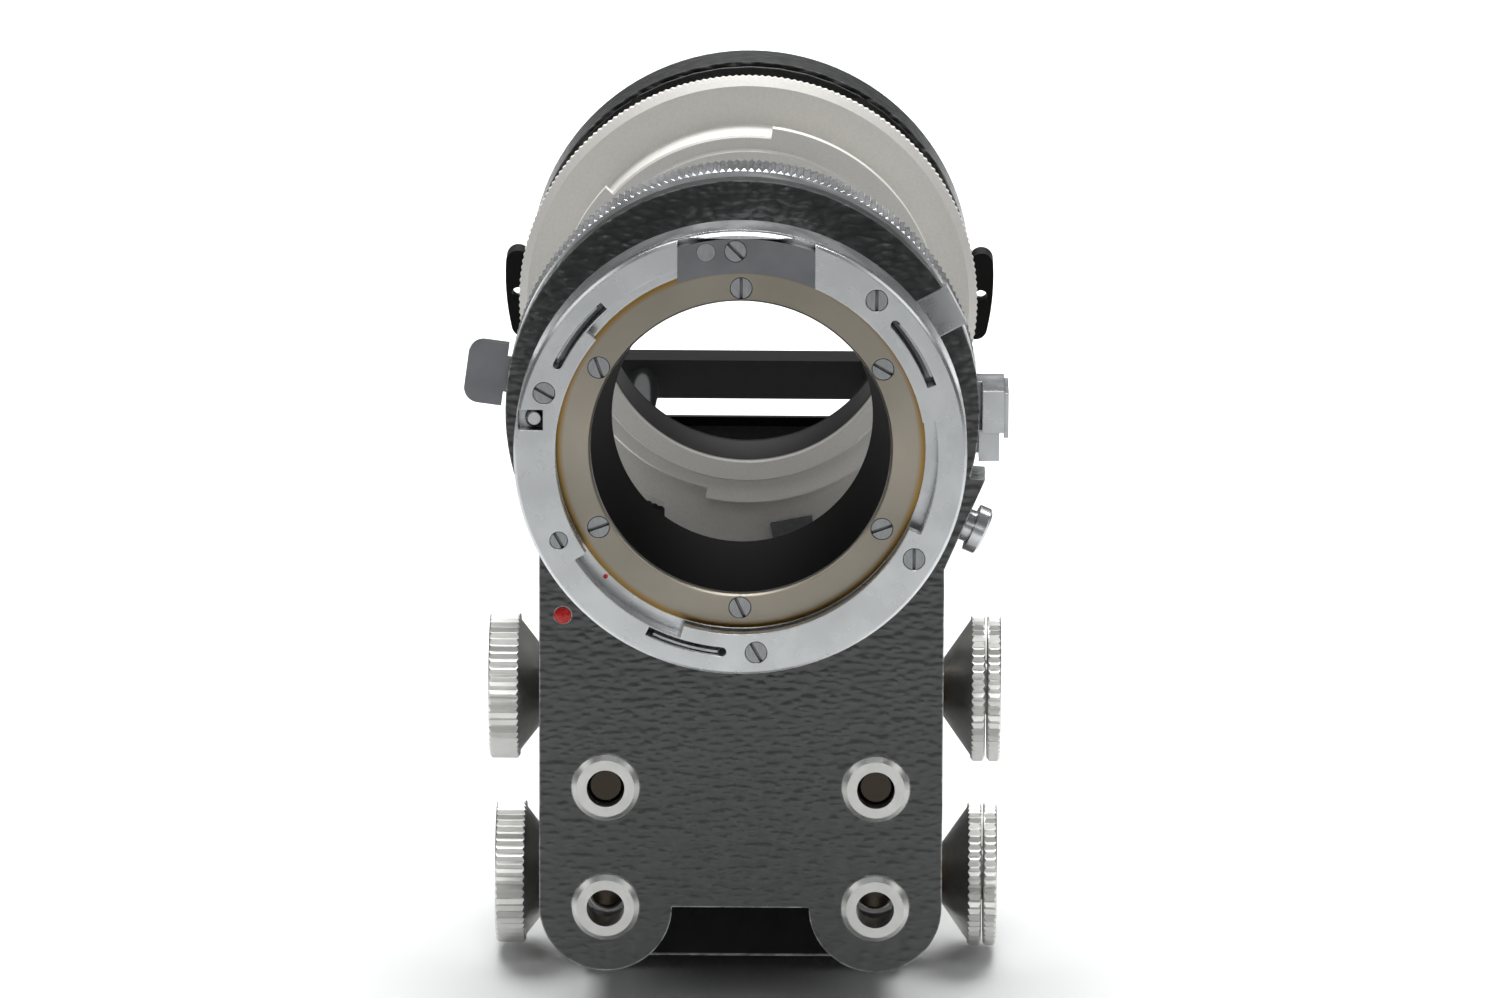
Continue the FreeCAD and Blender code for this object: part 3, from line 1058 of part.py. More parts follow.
for level, depth, z, teeth, phase in AXLES:
    shaft = rod(f"{level}_shaft", "shaft_radius", f"{LEFT_END} - 1 + {RIGHT_END} + 0.4",
                f"-{LEFT_END} + 1", depth, z, RIGHT)
    node(f"{level}_pinion", fuse(f"{level}_pinion_body", shaft, gear(
        f"{level}_gear", teeth, "rod_offset - gear_width / 2", depth, z, phase)))
    left_cone = turned(f"{level}_left_cone", (
        ("shaft_radius", "knob_start"), ("left_cone_small", "knob_start"),
        ("left_cone_large", "left_grip_start"), ("shaft_radius", "left_grip_start")),
        "0", depth, z, TO_LEFT)
    left_grip = bevelled_grip(f"{level}_left_grip", "-left_grip_start", "left_grip",
                              "shaft_radius", depth, z, TO_LEFT, LEFT)
    dish = rod(f"{level}_left_dish", "dish_radius", "2", f"-{LEFT_END} + 1", depth, z, LEFT)
    node(f"{level}_knob_left", cut(f"{level}_left_knob",
                                   fuse(f"{level}_left_blank", left_cone, left_grip), dish))
    right_cone = turned(f"{level}_right_cone", (
        ("shaft_radius", "knob_start"), ("right_cone_small", "knob_start"),
        ("right_cone_large", "right_grip_start"), ("shaft_radius", "right_grip_start")),
        "0", depth, z, TO_RIGHT)
    right_grip = bevelled_grip(f"{level}_right_grip", "right_grip_start", "right_grip",
                               "shaft_radius", depth, z, TO_RIGHT, RIGHT)
    hub = turned(f"{level}_hub", (
        ("shaft_radius", RIGHT_END), ("hub_radius", RIGHT_END),
        ("hub_radius", f"{RING_END} - 0.7"), ("shaft_radius", f"{RING_END} - 0.7")),
        "0", depth, z, TO_RIGHT)
    node(f"{level}_knob_right", fuse(f"{level}_right_knob", right_cone, right_grip, hub))
    lock = bevelled_grip(f"{level}_lock_grip", RING_START, "lock_ring",
                         "hub_radius + turn_clearance", depth, z, TO_RIGHT, RIGHT)
    node(f"{level}_lock_ring", cut(f"{level}_lock", lock, rod(
        f"{level}_lock_dish", "lock_dish", "2", f"{RING_END} - 0.9", depth, z, RIGHT)))
    caps = []
    for word, face, turn, back in (("left", f"-{LEFT_END} + 0.3", RIGHT, "0.7"),
                                   ("right", f"{RING_END} - 0.05", LEFT, "0.55")):
        cap = rod(f"{level}_cap_{word}", "cap_radius", back, face, depth, z, turn)
        sign = -1 if word == "left" else 1
        slot = slab(f"{level}_cap_slot_{word}", f"{face} - screw_slot_depth / 2",
                    f"{face} + screw_slot_depth / 2", f"{depth} - cap_radius - 1",
                    f"{depth} + cap_radius + 1",
                    f"{z} - screw_slot / 2 - 0.1", f"{z} + screw_slot / 2 + 0.1")
        caps.append(cut(f"{level}_end_cap_{word}", cap, slot))
    node(f"{level}_end_caps", group(f"{level}_cap_set", caps))

# Camera standard
# A casting with a round head; the lower rods are fixed in it and the upper rods run
# through its two bushes.
STANDARD_LOBE = "(standard_half - rod_offset)"
HEAD_BORE = "(mount_journal + turn_clearance)"
standard_parts = [
    rod("standard_head", "head_radius", "standard_thickness", "0", "standard_depth", "0"),
    slab("standard_body", "-standard_half", "standard_half", "standard_depth", STANDARD_BACK,
         "-lower_rod_drop", "-head_radius / 2")]
standard_tools = [
    rod("standard_opening", HEAD_BORE, "standard_thickness + 2", "0", "standard_depth - 1", "0"),
    rod("retainer_seat", "mount_journal + retainer_width", "retainer_depth + 1", "0",
        "standard_depth - 1", "0")]
standard_bushes = []
for side, sign in SIDES:
    x = f"{sign} * rod_offset"
    standard_parts.append(rod(f"standard_lobe_{side}", STANDARD_LOBE, "standard_thickness", x,
                              "standard_depth", "-lower_rod_drop"))
    standard_tools.append(rod(f"standard_bush_hole_{side}", "standard_bush_radius",
                              "standard_thickness + 2", x, "standard_depth - 1",
                              "-upper_rod_drop"))
    standard_tools.append(rod(f"standard_rod_hole_{side}", ROD_RADIUS, "standard_thickness + 2",
                              x, "standard_depth - 1", "-lower_rod_drop"))
    standard_bushes.append(turned(f"standard_bush_{side}", (
        (BORE_RADIUS, "0"), ("standard_bush_radius", "0"),
        ("standard_bush_radius", "standard_thickness"),
        ("standard_bush_radius", "standard_thickness + 0.5"),
        ("standard_bush_radius - 0.5", "standard_thickness + 1"),
        (BORE_RADIUS, "standard_thickness + 1")), x, "standard_depth", "-upper_rod_drop"))
THUMB_DROP = "(mount_radius + thumb_drop)"
MOUNT_FRONT = f"({STANDARD_BACK} + body_gap)"
MOUNT_BACK = f"({MOUNT_FRONT} + mount_length)"
standard_tools.append(rod("thumb_hole", "thumb_stem + turn_clearance", "thumb_stem_depth + 1.5",
                          "0", f"{STANDARD_BACK} - thumb_stem_depth - 0.5", f"-{THUMB_DROP}"))
node("camera_standard", cut("standard", fuse("standard_blank", *standard_parts),
                            *standard_tools))
node("standard_bushes", group("standard_bush_set", standard_bushes))
EAR_FRONT = "(standard_depth + (standard_thickness - ear_thickness) / 2)"
EAR_MIDDLE = "(head_radius + ear_reach) / 2"
ears = []
for side, sign in SIDES:
    top = size("ear_top") if sign > 0 else 180 - size("ear_top")
    sweep = size("ear_sweep")
    ear = fuse(
        f"ear_blank_{side}",
        sector(f"ear_bow_{side}", "head_radius", "ear_reach", top - sweep if sign > 0 else top,
               sweep, EAR_FRONT, f"{EAR_FRONT} + ear_thickness"),
        *[rod(f"ear_end_{side}_{i}", "(ear_reach - head_radius) / 2", "ear_thickness",
              polar(EAR_MIDDLE, angle)[0], EAR_FRONT, polar(EAR_MIDDLE, angle)[1])
          for i, angle in enumerate((top, top - sign * sweep))])
    x, z = polar(EAR_MIDDLE, top - sign * sweep / 2)
    ears.append(cut(f"ear_{side}", ear,
                    rod(f"ear_seat_{side}", "head_radius", "standard_thickness", "0",
                        "standard_depth", "0"),
                    rod(f"ear_eye_{side}", "ear_eye", "standard_thickness", x, "standard_depth",
                        z)))
node("strap_ears", group("ear_set", ears))
WASHER_FRONT = f"({MOUNT_BACK} + body_gap)"
node("thumb_screw", fuse(
    "thumb",
    turned("thumb_turning", (
        ("0", f"{STANDARD_BACK} - thumb_stem_depth"),
        ("thumb_stem", f"{STANDARD_BACK} - thumb_stem_depth"), ("thumb_stem", WASHER_FRONT),
        ("thumb_washer", WASHER_FRONT), ("thumb_washer", f"{WASHER_FRONT} + 1.3"),
        ("thumb_stem + 1.1", f"{WASHER_FRONT} + 1.3"), ("thumb_stem + 1.1", f"{WASHER_FRONT} + 2.1"),
        ("0", f"{WASHER_FRONT} + 2.1")), "0", "0", f"-{THUMB_DROP}"),
    ribbed("thumb_grip", "thumb_radius", "0.35", "24", "thumb_length - 2.1", "0",
           f"{WASHER_FRONT} + 2.1", f"-{THUMB_DROP}", BACKWARDS)))

# Camera ring, which turns in the standard for upright pictures
# It has a seat at its back for a camera's adapter, and a retainer at its front.
RETAINER_BACK = "(standard_depth + retainer_depth)"
node("camera_ring", turned("mount", (
    ("mount_bore", RETAINER_BACK), ("mount_journal", RETAINER_BACK),
    ("mount_journal", MOUNT_FRONT), ("mount_radius", MOUNT_FRONT),
    ("mount_radius", f"{MOUNT_BACK} - 0.4"), ("mount_radius - 0.4", MOUNT_BACK),
    ("adapter_seat", MOUNT_BACK), ("adapter_seat", f"{MOUNT_BACK} - adapter_seat_depth"),
    ("mount_bore", f"{MOUNT_BACK} - adapter_seat_depth"))))
node("ring_retainer", turned("retainer", (
    ("mount_bore", "standard_depth + 0.2"),
    ("mount_journal + retainer_width - body_gap", "standard_depth + 0.2"),
    ("mount_journal + retainer_width - body_gap", f"{RETAINER_BACK} - 0.02"),
    ("mount_bore", f"{RETAINER_BACK} - 0.02"))))


# Bellows, folded up between the front frame and the camera standard
def octagon(half, corner, depth):
    """A square outline with bevelled corners, upright, at a depth."""
    flat = half - corner
    corners = ((half, -flat), (half, flat), (flat, half), (-flat, half),
               (-half, flat), (-half, -flat), (-flat, -half), (flat, -half))
    points = [VECTOR(x, depth, z) for x, z in corners]
    return Part.makePolygon(points + points[:1])


FRAME_BACK = "(frame_face_depth + frame_thickness)"
FOLD_FRONT = f"({FRAME_BACK} + 1)"
FOLD_BACK = "(standard_depth - 1.2)"
fold_front = number(FOLD_FRONT)
fold_back = number(FOLD_BACK)
folds = int(size("fold_count"))
outer_wires = []
inner_wires = []
for i in range(2 * folds + 1):
    depth = (fold_back - fold_front) * i / (2 * folds)
    tucked = i % 2 == 0
    swing = 3.5 * size("fold_wall")
    outer = size("fold_outer") - (swing if tucked else 0)
    inner = size("fold_inner") - (1 if tucked else 1 - swing)
    outer_wires.append(octagon(outer, size("fold_corner") + 2, depth))
    inner_wires.append(octagon(inner, size("fold_corner"), depth))
bellows = doc.addObject("Part::Feature", "folds")
bellows.Shape = Part.makeLoft(outer_wires, True, True).cut(Part.makeLoft(inner_wires, True, True))
node("bellows", put(bellows, "0", FOLD_FRONT, "0"))


def eight_sided(half, corner):
    """The outline of a square with bevelled corners, as pairs of expressions."""
    outline = []
    for sx, sz, first in ((1, 1, True), (-1, 1, False), (-1, -1, True), (1, -1, False)):
        wide = (f"{sx} * ({half})", f"{sz} * (({half}) - ({corner}))")
        tall = (f"{sx} * (({half}) - ({corner}))", f"{sz} * ({half})")
        outline += [wide, tall] if first else [tall, wide]
    return outline


PLATE_OUTLINE = eight_sided("fold_outer - 1", "fold_corner + 2")
node("front_backing", cut("backing", plate("backing_blank", PLATE_OUTLINE, FRAME_BACK, FOLD_FRONT),
                          rod("backing_opening", "frame_bore", "frame_thickness", "0",
                              f"{FRAME_BACK} - 0.5", "0")))
node("rear_backing", cut("mask", plate("mask_blank", PLATE_OUTLINE, FOLD_BACK, "standard_depth"),
                         plate("mask_opening", eight_sided("mask_half", "mask_corner"),
                               f"{FOLD_BACK} - 1", "standard_depth + 1")))

# Front frame of the bellows, a satin ring with a three-lug bayonet and a knurled rim
# A lobe under it carries the latch.
LOBE_TOP = "-frame_bore - 3"
LOBE_LEFT = "(-lobe_left)"


def lobe_shape(name):
    """The lobe under the front frame, with rounded lower corners."""
    corners = [rod(f"{name}_corner_{i}", "lobe_corner", "frame_thickness", x, "frame_face_depth",
                   "-lobe_drop + lobe_corner")
               for i, x in enumerate((f"{LOBE_LEFT} + lobe_corner", "lobe_right - lobe_corner"))]
    return fuse(name, slab(f"{name}_wide", LOBE_LEFT, "lobe_right", "frame_face_depth", FRAME_BACK,
                           "-lobe_drop + lobe_corner", LOBE_TOP),
                slab(f"{name}_deep", f"{LOBE_LEFT} + lobe_corner", "lobe_right - lobe_corner",
                     "frame_face_depth", FRAME_BACK, "-lobe_drop", LOBE_TOP), *corners)


RIM_INSIDE = "(rim_radius - rim_seat)"
RIM_FRONT = "(frame_face_depth + frame_bevel + 0.1)"
front = turned("frame_blank", (
    ("frame_bore", "frame_nose_depth + 0.5"), ("frame_bore + 0.5", "frame_nose_depth"),
    ("frame_lip", "frame_nose_depth"), ("frame_lip + 0.3", "frame_nose_depth + 0.8"),
    ("frame_step_inner - 0.3", "frame_nose_depth + 0.8"),
    ("frame_step_inner", "frame_nose_depth + 1.1"), ("frame_step_inner", "frame_face_depth"),
    ("frame_radius - frame_bevel", "frame_face_depth"),
    ("frame_radius", "frame_face_depth + frame_bevel"), ("frame_radius", RIM_FRONT),
    (RIM_INSIDE, RIM_FRONT), (RIM_INSIDE, FRAME_BACK), ("frame_bore", FRAME_BACK)))
frame_lugs = [sector(f"frame_lug_{i}", "frame_step_inner - 1", "frame_step_outer", start,
                     size("frame_lug_sweep"), "frame_nose_depth + 0.8", "frame_nose_depth + 2.6")
              for i, start in enumerate((17.7, 137.7, 257.7))]
node("front_frame", fuse("frame_body", front, lobe_shape("frame_lobe"), *frame_lugs))
rim_profile = turned("rim_profile", (
    (RIM_INSIDE, RIM_FRONT), ("rim_radius - 0.4", RIM_FRONT),
    ("rim_radius", f"{RIM_FRONT} + 0.4"), ("rim_radius", f"{FRAME_BACK} - 0.3"),
    ("rim_radius - 0.3", FRAME_BACK), (RIM_INSIDE, FRAME_BACK)))
rim = doc.addObject("Part::MultiCommon", "rim")
rim.Shapes = [rim_profile, ribbed("rim_knurl", "rim_radius", "rim_rib_depth", "rim_ribs",
                                  "frame_thickness", "0", "frame_face_depth + 0.5", "0", BACKWARDS)]
node("front_rim", cut("rim_open", rim, lobe_shape("rim_gap")))
LATCH_TURN = FreeCAD.Rotation(VECTOR(0, 1, 0), -size("latch_angle"))
LATCH_BACK = "(frame_face_depth - body_gap)"
node("frame_latch", radial_slab("latch", "latch_inner", "latch_outer", "latch_width",
                                f"{LATCH_BACK} - latch_thickness", LATCH_BACK, "latch_angle",
                                LATCH_TURN))


# Check and export
doc.recompute()
bad = [o.Label for o in doc.Objects if "Invalid" in o.State or "Error" in o.State]
if bad:
    raise RuntimeError("objects that failed: " + ", ".join(bad))
for shape in nodes:
    if shape.Shape.isNull() or not shape.Shape.isValid() or not shape.Shape.Solids:
        raise RuntimeError("no valid solid in " + shape.Label)
os.makedirs("parts", exist_ok=True)
for shape in nodes:
    shape.Shape.exportStep(f"parts/{shape.Label}.step")
    box = shape.Shape.BoundBox
    print(f"{shape.Label}: {len(shape.Shape.Solids)} solids, {shape.Shape.Volume:.1f} mm3, "
          f"x {box.XMin:.1f} {box.XMax:.1f}, y {box.YMin:.1f} {box.YMax:.1f}, "
          f"z {box.ZMin:.1f} {box.ZMax:.1f}")
print(len(nodes), "sub-parts")
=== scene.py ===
import math

import bmesh
import bpy
from mathutils import Matrix, Vector


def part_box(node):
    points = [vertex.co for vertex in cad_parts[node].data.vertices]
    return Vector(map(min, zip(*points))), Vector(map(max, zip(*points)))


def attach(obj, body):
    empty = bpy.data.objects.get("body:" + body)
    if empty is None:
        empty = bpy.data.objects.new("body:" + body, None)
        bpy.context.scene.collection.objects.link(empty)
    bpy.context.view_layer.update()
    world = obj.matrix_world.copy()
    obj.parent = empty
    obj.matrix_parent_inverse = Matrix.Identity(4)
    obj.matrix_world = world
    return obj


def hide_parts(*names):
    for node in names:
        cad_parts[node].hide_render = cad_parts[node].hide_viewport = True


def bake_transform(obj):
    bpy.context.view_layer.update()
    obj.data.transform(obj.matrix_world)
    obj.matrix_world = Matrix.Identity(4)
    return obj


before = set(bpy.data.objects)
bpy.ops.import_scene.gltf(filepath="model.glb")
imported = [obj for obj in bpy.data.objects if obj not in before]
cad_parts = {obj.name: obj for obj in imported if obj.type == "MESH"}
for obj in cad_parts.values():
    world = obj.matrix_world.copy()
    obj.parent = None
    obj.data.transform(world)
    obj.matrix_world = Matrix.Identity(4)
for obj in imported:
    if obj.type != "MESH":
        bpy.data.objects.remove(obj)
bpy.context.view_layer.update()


# Camera
# The unit stands on a table and is seen from the lens side with a long lens, from
# 1.56 m in front of the flange and 13.4 degrees above the optical axis.
flange_low, flange_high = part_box("lens_flange")
AXIS_HEIGHT = (flange_low.z + flange_high.z) / 2
FLANGE_FACE = flange_low.y
PHOTO_WIDTH = 1500
PHOTO_HEIGHT = 998
FOCAL_PIXELS = 11000
FLANGE_PIXEL = (740.2, 454.8)
CAMERA_DISTANCE = 1.560
ELEVATION = math.radians(13.4)
YAW = math.radians(0.57)
ROLL = math.radians(0.25)

ahead = Vector((-math.sin(YAW) * math.cos(ELEVATION), math.cos(YAW) * math.cos(ELEVATION),
                -math.sin(ELEVATION)))
level = Vector((math.cos(YAW), math.sin(YAW), 0))
above = level.cross(ahead)
right = level * math.cos(ROLL) + above * math.sin(ROLL)
up = above * math.cos(ROLL) - level * math.sin(ROLL)
metre_per_pixel = CAMERA_DISTANCE / FOCAL_PIXELS
place = Vector((0, FLANGE_FACE, AXIS_HEIGHT)) - ahead * CAMERA_DISTANCE
place -= right * (FLANGE_PIXEL[0] - PHOTO_WIDTH / 2) * metre_per_pixel
place -= up * (PHOTO_HEIGHT / 2 - FLANGE_PIXEL[1]) * metre_per_pixel
camera_data = bpy.data.cameras.new("photo_camera")
camera_data.sensor_width = 36
camera_data.lens = FOCAL_PIXELS / PHOTO_WIDTH * camera_data.sensor_width
camera = bpy.data.objects.new("photo_camera", camera_data)
bpy.context.scene.collection.objects.link(camera)
axes = Matrix((right, up, -ahead)).transposed()
camera.matrix_world = Matrix.Translation(place) @ axes.to_4x4()
bpy.context.scene.camera = camera


# Table and light
# A white table under one strong softbox that hangs behind the unit and leans away from it,
# so that the table darkens towards the viewer. Weak softboxes stand in front, at both sides
# and above the lens side.
def linear(code):
    """An sRGB hex colour as linear red, green, blue and alpha."""
    parts = [int(code[i:i + 2], 16) / 255 for i in (0, 2, 4)]
    return [c / 12.92 if c <= 0.04045 else ((c + 0.055) / 1.055) ** 2.4 for c in parts] + [1]


def add(finish, kind, inputs=None, **settings):
    """Adds a node: settings are its own values, and inputs are values or other sockets."""
    node = finish.node_tree.nodes.new("ShaderNode" + kind)
    for name, value in settings.items():
        setattr(node, name, value)
    for name, value in (inputs or {}).items():
        if isinstance(value, bpy.types.NodeSocket):
            finish.node_tree.links.new(value, node.inputs[name])
        else:
            node.inputs[name].default_value = value
    return node


def new_finish(name, **inputs):
    """A material with one surface shader, whose sockets take the inputs."""
    finish = bpy.data.materials.new(name)
    finish.use_nodes = True
    shader = finish.node_tree.nodes["Principled BSDF"]
    for key, value in inputs.items():
        shader.inputs[key.replace("_", " ")].default_value = value
    return finish, shader


def join(finish, output, shader, name):
    """Links a pattern to one of the shader's sockets."""
    finish.node_tree.links.new(output, shader.inputs[name])


def deselect():
    """Leaves nothing selected, so that an operator acts on the new piece alone."""
    bpy.ops.object.select_all(action="DESELECT")


table_paint, shader = new_finish("table_paint", Roughness=0.45)
shader.inputs["Base Color"].default_value = linear("F4F5F5")
grain = add(table_paint, "TexNoise", {
    "Vector": add(table_paint, "TexCoord").outputs["Object"], "Scale": 900, "Detail": 2})
bump = add(table_paint, "Bump", {"Height": grain.outputs[0], "Strength": 0.02,
                                 "Distance": 0.0005})
join(table_paint, bump.outputs[0], shader, "Normal")
deselect()
TABLE_SIZE = 16
bpy.ops.mesh.primitive_plane_add(size=TABLE_SIZE, location=(0, 2, 0))
table = bpy.context.object
table.name = "table"
table.data.materials.append(table_paint)

bpy.context.scene.view_settings.view_transform = "Standard"
# Each lamp has its name, place, aim, width in metres and power in watts.
LAMPS = (("overhead_softbox", (0, 0.5, 0.85), (0, 0.85, 0), 0.8, 19),
         ("left_softbox", (-1.1, -0.35, 0.9), (0, 0, 0.08), 0.6, 1.5),
         ("right_softbox", (1.1, -0.25, 0.9), (0, 0, 0.08), 0.6, 1.5),
         ("front_softbox", (0.1, -1.7, 0.85), (0, 0, 0.08), 0.6, 3.5),
         ("top_softbox", (0, -0.35, 1.1), (0, 0, 0.08), 0.4, 3))
for name, at, aim, width, power in LAMPS:
    lamp = bpy.data.lights.new(name, "AREA")
    lamp.size = width
    lamp.energy = power
    softbox = bpy.data.objects.new(name, lamp)
    softbox.location = at
    softbox.rotation_euler = (Vector(aim) - Vector(at)).to_track_quat("-Z", "Y").to_euler()
    bpy.context.scene.collection.objects.link(softbox)
room = bpy.data.worlds.new("white_room")
room.use_nodes = True
room.node_tree.nodes["Background"].inputs["Color"].default_value = linear("F2F3F4")
room.node_tree.nodes["Background"].inputs["Strength"].default_value = 0.16
bpy.context.scene.world = room


# Tripod block, gear cover, lens plate and camera standard
# Die-cast aluminium, stoved in black hammer paint: glossy cells about 1.9 mm wide and
# 0.9 mm high with soft rims, worn to bare metal along the sharp edges.
CELL_PITCH = 0.0013
CELL_STRETCH = (0.7, 1, 1.5)
CELL_DRIFT = 0.6
WEAR_REACH = 0.0004


def dress(finish, *names):
    """Gives CAD nodes their finish."""
    for name in names:
        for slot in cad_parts[name].material_slots:
            slot.material = finish


hammer_paint, shader = new_finish("hammer_paint", Roughness=0.3, IOR=1.8)
where = add(hammer_paint, "TexCoord").outputs["Object"]
drift = add(hammer_paint, "TexNoise", {
    "Vector": where, "Scale": CELL_DRIFT / CELL_PITCH, "Detail": 2})
sagged = add(hammer_paint, "VectorMath", {0: where, 1: CELL_STRETCH}, operation="MULTIPLY")
pushed = add(hammer_paint, "VectorMath", {
    0: drift.outputs["Color"], 1: (CELL_DRIFT * CELL_PITCH,) * 3, 2: sagged.outputs[0]},
    operation="MULTIPLY_ADD")
cells = add(hammer_paint, "TexVoronoi", {
    "Vector": pushed.outputs[0], "Scale": 1 / CELL_PITCH, "Smoothness": 0.7},
    feature="SMOOTH_F1")
height = add(hammer_paint, "MapRange", {
    "Value": cells.outputs["Distance"], "From Min": 0.15, "From Max": 0.75}).outputs[0]
# A Mix node of colours has its factor at socket 0, its colours at 6 and 7, the blend at 2.
tone = add(hammer_paint, "Mix", {0: height, 6: linear("2C2D2D"), 7: linear("0E0F0F")},
           data_type="RGBA")
# Sharp edges are found where a rounded normal leaves the plain one.
rounded = add(hammer_paint, "Bevel", {"Radius": WEAR_REACH}, samples=4)
plain = add(hammer_paint, "NewGeometry")
match = add(hammer_paint, "VectorMath", {0: rounded.outputs[0], 1: plain.outputs["Normal"]},
            operation="DOT_PRODUCT")
edge = add(hammer_paint, "MapRange", {
    "Value": match.outputs["Value"], "From Min": 0.97, "From Max": 0.82})
chips = add(hammer_paint, "TexNoise", {"Vector": where, "Scale": 400, "Detail": 4})
chipped = add(hammer_paint, "MapRange", {
    "Value": chips.outputs[0], "From Min": 0.3, "From Max": 0.55})
bare = add(hammer_paint, "Math", {0: edge.outputs[0], 1: chipped.outputs[0]},
           operation="MULTIPLY").outputs[0]
paint = add(hammer_paint, "Mix", {0: bare, 6: tone.outputs[2], 7: linear("C9CACA")},
            data_type="RGBA")
join(hammer_paint, paint.outputs[2], shader, "Base Color")
join(hammer_paint, bare, shader, "Metallic")
bump = add(hammer_paint, "Bump", {"Height": height, "Strength": 0.6, "Distance": 0.00018},
           invert=True)
join(hammer_paint, bump.outputs[0], shader, "Normal")
dress(hammer_paint, "tripod_block", "gear_cover", "lens_plate", "camera_standard")


# Blackened pieces
# Matt black anodised aluminium: the plates that hold the bellows, the tail bar, the foot,
# the strap ears and the blank label plate. The baffle has a duller black lacquer.
black_anodise, shader = new_finish("black_anodise", Specular_IOR_Level=0.16)
where = add(black_anodise, "TexCoord").outputs["Object"]
haze = add(black_anodise, "TexNoise", {"Vector": where, "Scale": 300, "Detail": 5})
tone = add(black_anodise, "Mix", {0: haze.outputs[0], 6: linear("060606"), 7: linear("0F0F0E")},
           data_type="RGBA")
join(black_anodise, tone.outputs[2], shader, "Base Color")
matt = add(black_anodise, "MapRange", {"Value": haze.outputs[0], "From Min": 0.3,
                                       "From Max": 0.7, "To Min": 0.5, "To Max": 0.7})
join(black_anodise, matt.outputs[0], shader, "Roughness")
dress(black_anodise, "tail_bar", "rear_backing", "front_backing", "strap_ears",
      "label_plate", "foot_plate")
black_lacquer, shader = new_finish("black_lacquer", Roughness=0.75, Specular_IOR_Level=0.06)
where = add(black_lacquer, "TexCoord").outputs["Object"]
dust = add(black_lacquer, "TexNoise", {"Vector": where, "Scale": 900, "Detail": 4})
tone = add(black_lacquer, "Mix", {0: dust.outputs[0], 6: linear("040404"), 7: linear("0A0908")},
           data_type="RGBA")
join(black_lacquer, tone.outputs[2], shader, "Base Color")
dress(black_lacquer, "baffle_tube")


# Lens flange, collar, catch and small chromed pieces
# Steel with satin chrome plate. Fine turning marks run round the optical axis, and the
# plate is a little stained, with painted shade down in its slots and gaps.
def paint_shade_in_gaps(finish, reach, tone):
    """Darkens a colour down in slots, gaps and corners: painted shade where they are hidden from
    the light.
    """
    occlusion = add(finish, "AmbientOcclusion", {"Distance": reach}, samples=8)
    open_to_light = add(finish, "MapRange", {
        "Value": occlusion.outputs["AO"], "From Min": 0.2, "From Max": 0.65})
    # The dark colour 1C1C1B is painted shade.
    return add(finish, "Mix", {0: open_to_light.outputs[0], 6: linear("1C1C1B"), 7: tone.outputs[2]},
               data_type="RGBA").outputs[2]


def axis_radius(finish, where):
    """The distance from the optical axis, as a socket."""
    offset = add(finish, "VectorMath", {0: where, 1: (0, 0, AXIS_HEIGHT)}, operation="SUBTRACT")
    flat = add(finish, "VectorMath", {0: offset.outputs[0], 1: (1, 0, 1)}, operation="MULTIPLY")
    return add(finish, "VectorMath", {0: flat.outputs[0]}, operation="LENGTH").outputs["Value"]


def turning_marks(finish, radius, spacing, depth):
    """A bump of fine rings round the optical axis, with edges that catch the light."""
    soft_edge = add(finish, "Bevel", {"Radius": 0.0002}, samples=4)
    rings = add(finish, "TexNoise", {"W": radius, "Scale": 1 / spacing, "Detail": 1},
                noise_dimensions="1D")
    return add(finish, "Bump", {"Height": rings.outputs[0], "Strength": 0.25, "Distance": depth,
                                "Normal": soft_edge.outputs[0]}).outputs[0]


satin_chrome, shader = new_finish("satin_chrome", Metallic=1.0)
where = add(satin_chrome, "TexCoord").outputs["Object"]
radius = axis_radius(satin_chrome, where)
marks = turning_marks(satin_chrome, radius, spacing=0.00025, depth=0.00002)
stains = add(satin_chrome, "TexNoise", {"Vector": where, "Scale": 160, "Detail": 5})
tone = add(satin_chrome, "Mix", {0: stains.outputs[0], 6: linear("DADCDD"), 7: linear("C3C5C7")},
           data_type="RGBA")
# Painted shade: the colour darkens down in slots and gaps.
join(satin_chrome, paint_shade_in_gaps(satin_chrome, 0.0014, tone), shader, "Base Color")
satin = add(satin_chrome, "MapRange", {"Value": stains.outputs[0], "From Min": 0.3,
                                       "From Max": 0.7, "To Min": 0.2, "To Max": 0.34})
join(satin_chrome, satin.outputs[0], shader, "Roughness")
join(satin_chrome, marks, shader, "Normal")
dress(satin_chrome, "lens_flange", "bayonet_springs", "index_clip", "collar", "ring_catch",
      "lock_pin", "cable_socket", "cable_plunger", "rear_sleeve", "coupling_ring")


# Screws and the inlay's dowel
# Steel heads, duller than the plate round them, with a fine sawn grain and painted shade in the
# slots.
screw_steel, shader = new_finish("screw_steel", Metallic=1.0, Roughness=0.38)
where = add(screw_steel, "TexCoord").outputs["Object"]
sawn = add(screw_steel, "VectorMath", {0: where, 1: (5000, 1500, 900)}, operation="MULTIPLY")
grain = add(screw_steel, "TexNoise", {"Vector": sawn.outputs[0], "Scale": 1, "Detail": 3})
tone = add(screw_steel, "Mix", {0: grain.outputs[0], 6: linear("B4B6B8"), 7: linear("8A8C8E")},
           data_type="RGBA")
# Painted shade: the colour darkens in the screw slots and in the gaps round the heads.
join(screw_steel, paint_shade_in_gaps(screw_steel, 0.001, tone), shader, "Base Color")
dress(screw_steel, "flange_screws", "flange_small_screw", "insert_dowel", "throat_screws",
      "sleeve_screws", "cover_screws", "foot_screws", "tail_screws")


